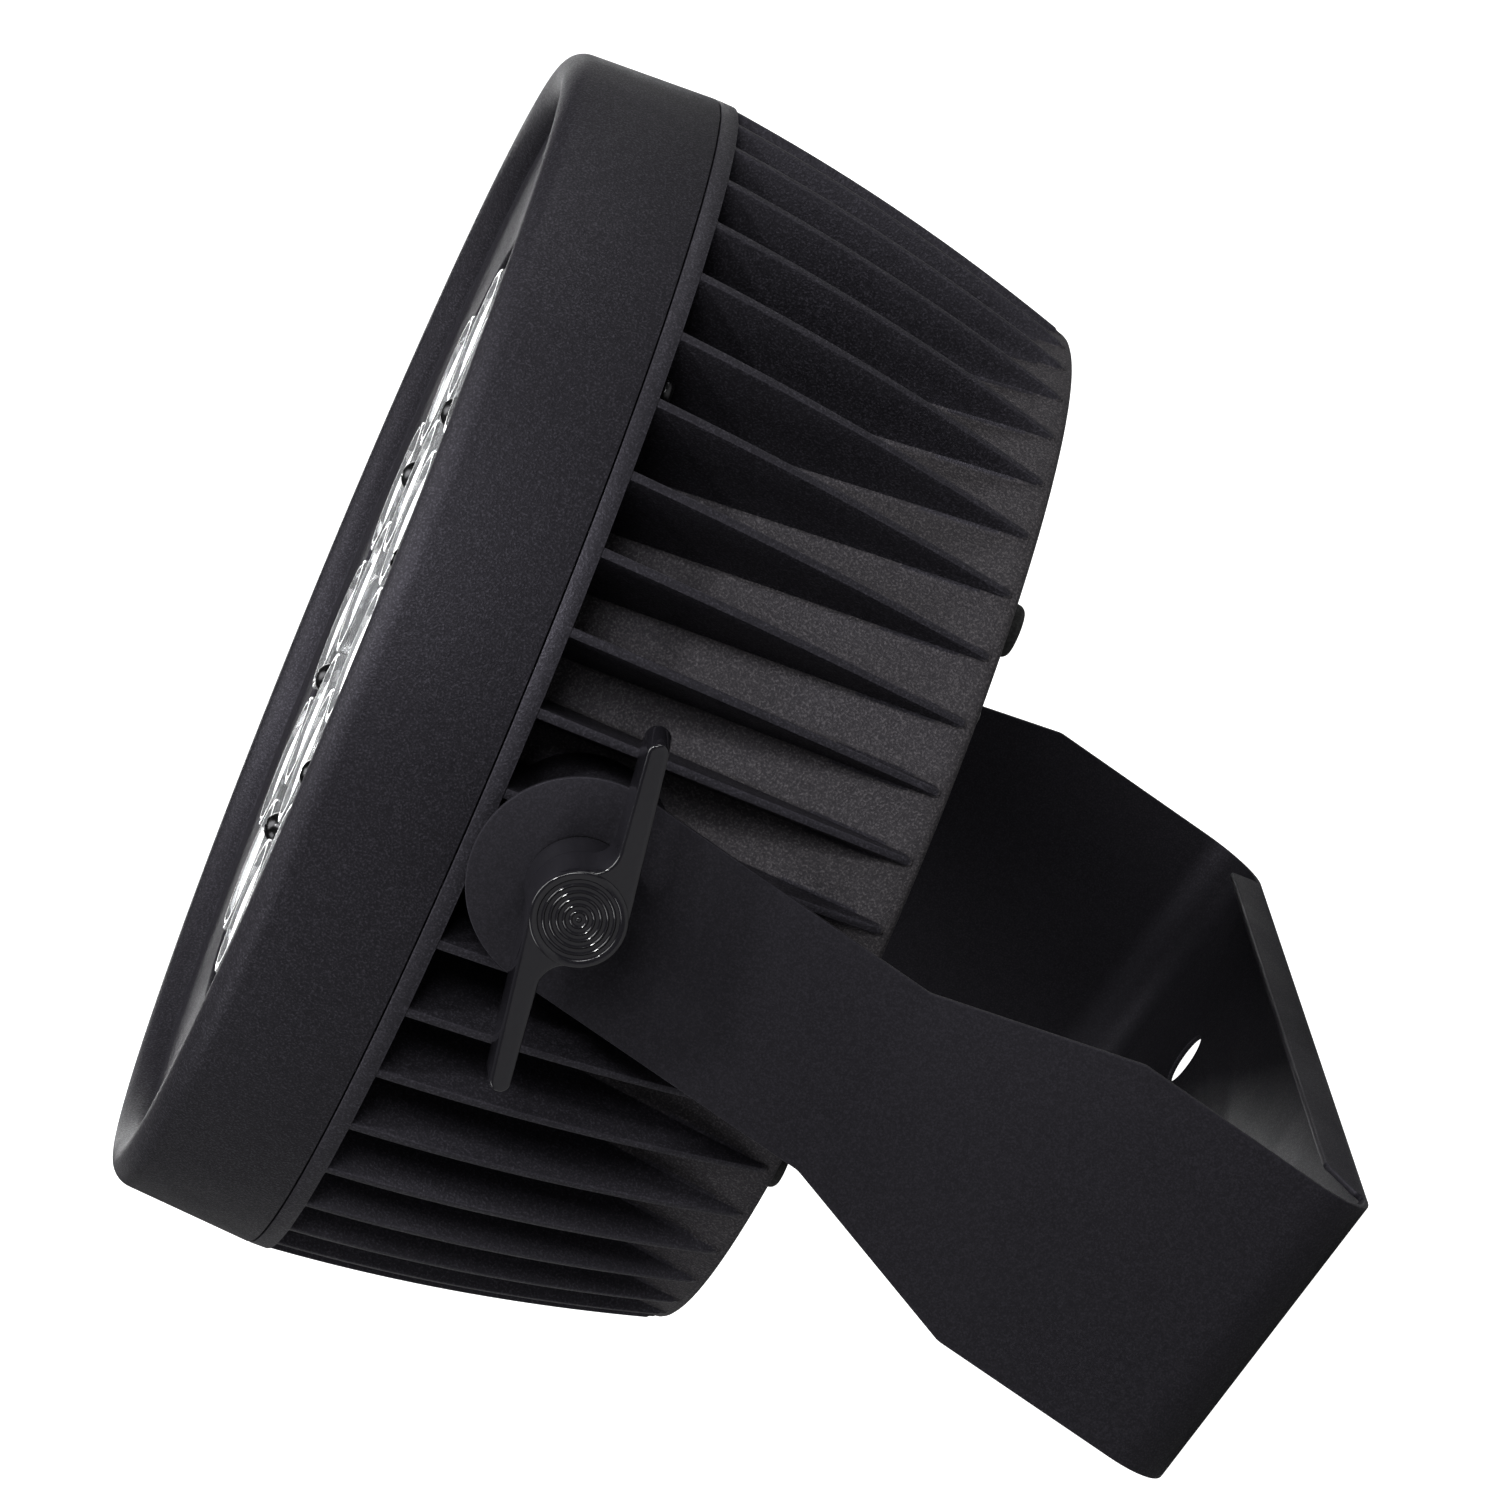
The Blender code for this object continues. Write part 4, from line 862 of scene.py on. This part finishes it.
def make_sockets():
    for name, side in (("data_in", -1), ("data_out", 1)):
        bm = prism(box_outline(26 * MM, 31 * MM, 2.4 * MM),
                   [(FLANGE_OUT_Z, 0.4 * MM), (FLANGE_OUT_Z + 0.12 * MM, 0.12 * MM),
                    (FLANGE_OUT_Z + 0.4 * MM, 0), (FLANGE_IN_Z, 0)])
        rim = FLANGE_OUT_Z - 1.2 * MM
        barrel = turned(soften([(5 * MM, rim, 0), (11.7 * MM, rim, 0.5 * MM),
                                (11.7 * MM, SOCKET_END_Z, 0.4 * MM), (5 * MM, SOCKET_END_Z, 0)], False), 64)
        bm = boolean(bm, barrel, "UNION")
        bm = boolean(bm, turned([(9.6 * MM, FLANGE_OUT_Z - 5 * MM), (9.6 * MM, -46 * MM)], 64))
        if side > 0:
            slot = prism(box_outline(*LATCH_SLOT, 0.4 * MM), [(FLANGE_OUT_Z - 5 * MM, 0), (-44 * MM, 0)])
            slot.transform(at(0, LATCH_Y - DATA_Y))
            bm = boolean(bm, slot)
        for turn in range(3):
            if side < 0:
                pin = turned(soften([(0.3 * MM, -59.5 * MM, 0), (1.2 * MM, -59.5 * MM, 0.6 * MM),
                                     (1.2 * MM, DATA_CONTACT_Z, 0), (0.3 * MM, DATA_CONTACT_Z, 0)],
                                    False), 24)
            else:
                pin = tube(1.9 * MM, 1.25 * MM, -58.5 * MM, DATA_CONTACT_Z, 24, 0.2 * MM)
            merge(bm, pin, polar(CONTACT_RING, math.radians(90 + 120 * turn)), 1)
        if side > 0:
            merge(bm, tube(8.4 * MM, 7.4 * MM, -57.5 * MM, DATA_CONTACT_Z, 48, 0.2 * MM), WORLD, 0)
        for x, y in ((-9.6 * MM, 12 * MM), (9.6 * MM, -12 * MM)):
            merge(bm, pan_head(2.2 * MM, 1.1 * MM, 0.9 * MM, 1.2 * MM), at(x, y, FLANGE_OUT_Z) @ FLIP, 2)
        bm.transform(at(side * DATA_X, DATA_Y))
        piece(f"{name}_socket_fine", bm, ["plastic", "brass", "screw"], "head", [f"{name}_socket"],
              sharp=30)

    latch = slab(8 * MM, 3 * MM, FLANGE_OUT_Z - 2.4 * MM, FLANGE_IN_Z - 0.2 * MM, 0.6 * MM, 0.4 * MM)
    for k in range(3):
        rib = slab(6.4 * MM, 0.3 * MM, FLANGE_OUT_Z - 2.4 * MM, FLANGE_OUT_Z - 1.4 * MM, 0.1 * MM, 0.1 * MM)
        merge(latch, rib, at(0, (k - 1) * 0.8 * MM, 0.0))
    latch.transform(at(DATA_X, LATCH_Y))
    piece("data_latch_fine", latch, "steel", "latch", ["data_latch"])

    for name, side, finish in (("power_in", -1, "blue"), ("power_out", 1, "grey")):
        profile = soften([(1 * MM, -46 * MM, 0), (9.0 * MM, -46 * MM, 0.3 * MM),
                          (9.0 * MM, FLANGE_OUT_Z - 1.5 * MM, 0.3 * MM),
                          (11.0 * MM, FLANGE_OUT_Z - 1.5 * MM, 0.4 * MM),
                          (11.6 * MM, FLANGE_OUT_Z - 0.2 * MM, 0.3 * MM), (14.0 * MM, FLANGE_OUT_Z, 0.5 * MM),
                          (14.0 * MM, FLANGE_IN_Z, 0.2 * MM), (12.2 * MM, FLANGE_IN_Z, 0),
                          (12.2 * MM, SOCKET_END_Z, 0.3 * MM), (1 * MM, SOCKET_END_Z, 0)], False)
        bm = turned(profile, 72)
        # three keys on the wall, then three blades
        for first, ring, x_size, y_size, low, corner, material in (
                (90, 8.4 * MM, 3.0 * MM, 1.4 * MM, -62.5 * MM, 0.3 * MM, 0),
                (30, CONTACT_RING, 3.6 * MM, 0.9 * MM, -57.0 * MM, 0.2 * MM, 1)):
            for turn in range(3):
                angle = math.radians(first + 120 * turn)
                part = slab(x_size, y_size, low, POWER_CONTACT_Z, corner, 0.2 * MM)
                merge(bm, part, polar(ring, angle) @ Matrix.Rotation(angle + math.pi / 2, 4, "Z"), material)
        merge(bm, rod(2.0 * MM, -60 * MM, POWER_CONTACT_Z, 32, 0.5 * MM), WORLD, 0)
        bm.transform(at(side * POWER_X, POWER_Y))
        slot = "blue_plastic" if side < 0 else "grey_plastic"
        piece(f"{name}_socket_fine", bm, [finish, "brass"], "head", [f"{name}_socket"])

    holder = tube(9.5 * MM, 6.4 * MM, FLANGE_OUT_Z + 0.5 * MM, FLANGE_IN_Z, 72, 0.3 * MM)
    holder.transform(at(0, FUSE_Y))
    piece("fuse_holder_fine", holder, "plastic", "head", ["fuse_holder"])
    top = FLANGE_OUT_Z - 7 * MM
    rear = FLANGE_OUT_Z - GAP
    ribs, steps = 24, 6
    count = ribs * steps
    bm = bmesh.new()
    rows = []
    for z, radius, depth in ((COVER_IN_Z + 12 * MM, 5.6 * MM, 0), (rear, 5.6 * MM, 0), (rear, 7.7 * MM, 0),
                             (rear - 0.4 * MM, 7.95 * MM, 0.35 * MM), (top + 1.2 * MM, 7.7 * MM, 0.35 * MM),
                             (top + 0.5 * MM, 7.3 * MM, 0.1 * MM), (top, 6.6 * MM, 0)):
        radii = [radius - depth * (0.5 + 0.5 * math.cos(math.tau * i / steps)) for i in range(count)]
        rows.append([bm.verts.new(ring_point(r, math.tau * i / count, z)) for i, r in enumerate(radii)])
    loft(bm, rows)
    bm = boolean(bm, slab(9 * MM, 1.4 * MM, top - 1 * MM, top + 1.3 * MM, 0.3 * MM, 0.1 * MM))
    bm.transform(at(0, FUSE_Y))
    piece("fuse_cap_fine", bm, "plastic", "fuse", ["fuse_cap"])


# ---- clamp knobs ------------------------------------------------------------------
def handle_outline():
    """The S-shaped handle and the hub in one counter-clockwise outline."""
    edge = -KNOB_HUB_RADIUS
    half = WING_TIP_WIDTH / 2
    centre_y = edge + WING_ROOT_WIDTH + WING_FILLET
    centre_x = math.sqrt((KNOB_HUB_RADIUS + WING_FILLET) ** 2 - centre_y ** 2)
    into = math.atan2(centre_y, centre_x)
    outline = [(4.0 * MM, edge), (12.0 * MM, edge), (20.0 * MM, edge), (28.0 * MM, edge)]
    outline += arc((WING_REACH - half, edge + half), half, -math.pi / 2, math.pi / 2, 12)
    outline += [(24.0 * MM, edge + mix(WING_TIP_WIDTH, WING_ROOT_WIDTH, 0.5))]
    outline += arc((centre_x, centre_y), WING_FILLET, 1.5 * math.pi, math.pi + into, 10)
    outline += arc((0, 0), KNOB_HUB_RADIUS, into, math.radians(82), 10)[1:]
    return outline + [(-x, -y) for x, y in outline]


# How far behind the knob's front each level of the handle is, and its inset, in mm.
HANDLE_LEVELS = ((13.5, 0.0), (13.1, -0.45), (12.4, -0.65), (11.4, -0.70), (6.0, -0.35), (1.0, -0.02),
                 (0.8, 0.03), (0.62, 0.14), (0.52, 0.28), (0.5, 0.36), (0.5, 0.75))


def make_knob(side, name):
    bm = prism(handle_outline(), [(KNOB_FRONT - drop * MM, inset * MM) for drop, inset in HANDLE_LEVELS])
    face = KNOB_FRONT - 0.15 * MM
    base = ARM_OUTER + 1.8 * MM
    points = [(STUD_RADIUS + GAP, base + 4 * MM, 0), (STUD_RADIUS + GAP, base, 0.2 * MM),
              (KNOB_FLANGE_RADIUS, base, 0.6 * MM), (KNOB_FLANGE_RADIUS - 0.4 * MM, base + 2.6 * MM, 2 * MM),
              (KNOB_HUB_RADIUS - 0.2 * MM, base + 7.5 * MM, 3 * MM),
              (KNOB_HUB_RADIUS, KNOB_FRONT - 3 * MM, 0), (KNOB_HUB_RADIUS, face, 0.4 * MM)]
    outer = KNOB_HUB_RADIUS - 1.3 * MM
    profile = soften(points + [(outer, face, 0)], False, 5)
    rings = 6
    for k in range(1, rings * 10 + 1):
        t = k / (rings * 10)
        radius = mix(outer, 0.25 * MM, t)
        wave = 0.5 - 0.5 * math.cos(math.tau * rings * t)
        profile.append((radius, face - 0.55 * MM * wave ** 0.8))
    merge(bm, turned(profile, 96))
    lean = WING_ANGLE - HEAD_TILT
    along = Vector((0, math.cos(lean), math.sin(lean)))
    outward = Vector((side, 0, 0))
    place = Matrix((along, outward.cross(along), outward)).transposed().to_4x4()
    piece(f"wing_knob_{name}", bm, "knob", f"{name}_knob", [f"clamp_knob_{name}"],
          HEAD @ place, sharp=50)


THREAD_PITCH = 1.25 * MM
THREAD_DEPTH = 0.35 * MM


def thread(radius, low, high):
    """A stud with close rings for its thread."""
    points = [(0.5 * MM, low), (radius - 0.8 * MM, low)]
    turns = int((high - low - 1.6 * MM) / THREAD_PITCH)
    for k in range(turns):
        z = low + 0.8 * MM + k * THREAD_PITCH
        points += [(radius - THREAD_DEPTH, z), (radius, z + THREAD_PITCH * 0.4),
                   (radius, z + THREAD_PITCH * 0.6)]
    points += [(radius - 0.8 * MM, high), (0.5 * MM, high)]
    return turned(points, 40)


def make_clamps():
    for side, name in ((-1, "left"), (1, "right")):
        turn = Matrix.Rotation(side * math.pi / 2, 4, "Y")
        make_knob(side, name)
        pad = tube(WASHER_RADIUS, STUD_HOLE_RADIUS, BOSS_FACE + GAP, ARM_OUTER - SHEET - GAP, 96, 0.2 * MM)
        pad.transform(turn)
        piece(f"friction_pad_{name}", pad, "rubber", "head", [f"friction_washer_{name}"],
              HEAD)
        washer = tube(CLAMP_WASHER_RADIUS - CLAMP_WASHER_TRIM, STUD_HOLE_RADIUS, ARM_OUTER + GAP,
                      ARM_OUTER + 1.5 * MM, 96, 0.25 * MM)
        washer.transform(turn)
        piece(f"plain_washer_{name}", washer, "screw", f"{name}_washer", [f"clamp_washer_{name}"],
              HEAD)
        stud = thread(STUD_RADIUS, BOSS_FACE - 18 * MM, ARM_OUTER + 12 * MM)
        stud.transform(turn)
        piece(f"threaded_stud_{name}", stud, "steel", f"{name}_knob", [f"clamp_stud_{name}"],
              HEAD)


# ---- pieces kept from the frame -----------------------------------------------------
def repaint_kept_nodes():
    kept = {
        "rubber": ["lens_plate_seal", "rear_cover_seal"],
        "plastic": ["lens_carrier"],
        "grey": ["thermal_pad", "display_module", "driver_capacitor"],
        "green_board": ["control_board", "driver_board"],
        "steel": ["driver_tray"],
        "copper": ["driver_transformer", "driver_choke"],
    }
    for finish, names in kept.items():
        for name in names:
            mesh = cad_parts[name].data
            mesh.materials.clear()
            mesh.materials.append(FINISHES[finish])


# ---- stage ------------------------------------------------------------------------
# The floor and the world look white, but only to the camera. To every other ray the floor is a
# dark grey with a faint glow, and the world is dim but for a band low down on the -X side.
CAMERA_LEVEL = 1.2
FLOOR_TONES = (0.22, 0.25)
FLOOR_GLOW = 0.04
FLOOR_GRAIN = 0.5
FLOOR_RADIUS = 9.0
FLOOR_DROP = 0.0002
WORLD_LEVEL = 0.06
HORIZON_LEVEL = 0.6
HORIZON_FADES = (("X", -0.85, -0.55), ("Z", 0.12, 0.28))

# name, place, target, size, watts
LIGHTS = (
    ("overhead", (0.15, -0.15, 1.7), (0.0, 0.0, 0.15), (1.4, 0.9), 22.0),
    ("side", (1.55, 0.75, 0.95), (0.0, 0.0, 0.10), (0.6, 0.7), 17.0),
    ("front", (0.80, -1.6, 0.85), (0.0, 0.0, 0.12), (0.9, 0.9), 12.0),
    ("key", (0.95, 0.35, 1.30), (0.1, 0.0, 0.15), (0.15, 0.15), 11.0),
    ("back", (-0.35, 1.75, 0.9), (0.0, 0.0, 0.12), (0.9, 0.9), 9.0),
    ("left", (-1.8, -0.25, 0.35), (0.0, 0.0, 0.12), (1.0, 0.6), 8.0),
)

CAMERA_PLACE = (1.42042, 0.29262, 0.35938)
CAMERA_TARGET = (0.0, 0.01871, 0.12830)
CAMERA_ROLL = math.radians(-55.34)
CAMERA_LENS = 173.68
SENSOR_WIDTH = 36.0
CAMERA_CLIP = (0.05, 30.0)


def area_light(name, place, target, size, power):
    data = bpy.data.lights.new(name, "AREA")
    data.shape = "RECTANGLE"
    data.size, data.size_y = size
    data.energy = power
    obj = bpy.data.objects.new(name, data)
    bpy.context.scene.collection.objects.link(obj)
    obj.location = place
    obj.rotation_mode = "QUATERNION"
    obj.rotation_quaternion = (Vector(target) - Vector(place)).to_track_quat("-Z", "Y")


def make_floor():
    f = Finish("floor", 0.9, Emission_Color=rgb(1.0), Specular_IOR_Level=0.1)
    f.link(f.mix(f.noise(FLOOR_GRAIN), *(rgb(tone) for tone in FLOOR_TONES)), "Base Color")
    seen = f.node("ShaderNodeLightPath").outputs["Is Camera Ray"]
    f.link(f.math("ADD", f.math("MULTIPLY", seen, CAMERA_LEVEL), FLOOR_GLOW), "Emission Strength")
    bm = bmesh.new()
    bm.faces.new(ring_verts(bm, FLOOR_RADIUS, -FLOOR_DROP, 96))
    floor = as_object("floor", bm)
    floor.data.materials.append(f.material)


def make_world():
    world = bpy.data.worlds.new("studio")
    bpy.context.scene.world = world
    world.use_nodes = True
    sky = Nodes(world.node_tree)
    place = sky.node("ShaderNodeTexCoord").outputs["Generated"]
    direction = sky.node("ShaderNodeSeparateXYZ", _0=place)
    fades = [sky.spread(direction.outputs[axis], far, near, 1.0, 0.0) for axis, far, near in HORIZON_FADES]
    horizon = sky.math("MULTIPLY", sky.math("MULTIPLY", *fades), HORIZON_LEVEL)
    seen = sky.node("ShaderNodeLightPath").outputs["Is Camera Ray"]
    level = sky.math("ADD", sky.math("ADD", horizon, WORLD_LEVEL), sky.math("MULTIPLY", seen, CAMERA_LEVEL))
    back = sky.tree.nodes["Background"]
    back.inputs["Color"].default_value = rgb(1.0)
    sky.feed(back.inputs["Strength"], level)


def make_stage():
    make_floor()
    make_world()
    for light in LIGHTS:
        area_light(*light)


def make_camera():
    data = bpy.data.cameras.new("camera")
    data.sensor_width = SENSOR_WIDTH
    data.lens = CAMERA_LENS
    data.clip_start, data.clip_end = CAMERA_CLIP
    camera = bpy.data.objects.new("camera", data)
    bpy.context.scene.collection.objects.link(camera)
    camera.location = CAMERA_PLACE
    aim = Vector(CAMERA_TARGET) - camera.location
    roll = Matrix.Rotation(CAMERA_ROLL, 3, "Z")
    camera.rotation_mode = "QUATERNION"
    camera.rotation_quaternion = (aim.to_track_quat("-Z", "Y").to_matrix() @ roll).to_quaternion()
    bpy.context.scene.camera = camera


make_yoke()
make_heatsink()
make_bezel()
make_optics()
make_screws()
make_rear_cover()
make_controls()
make_sockets()
make_clamps()
repaint_kept_nodes()
make_camera()
make_stage()
bpy.context.scene.view_settings.view_transform = "Standard"
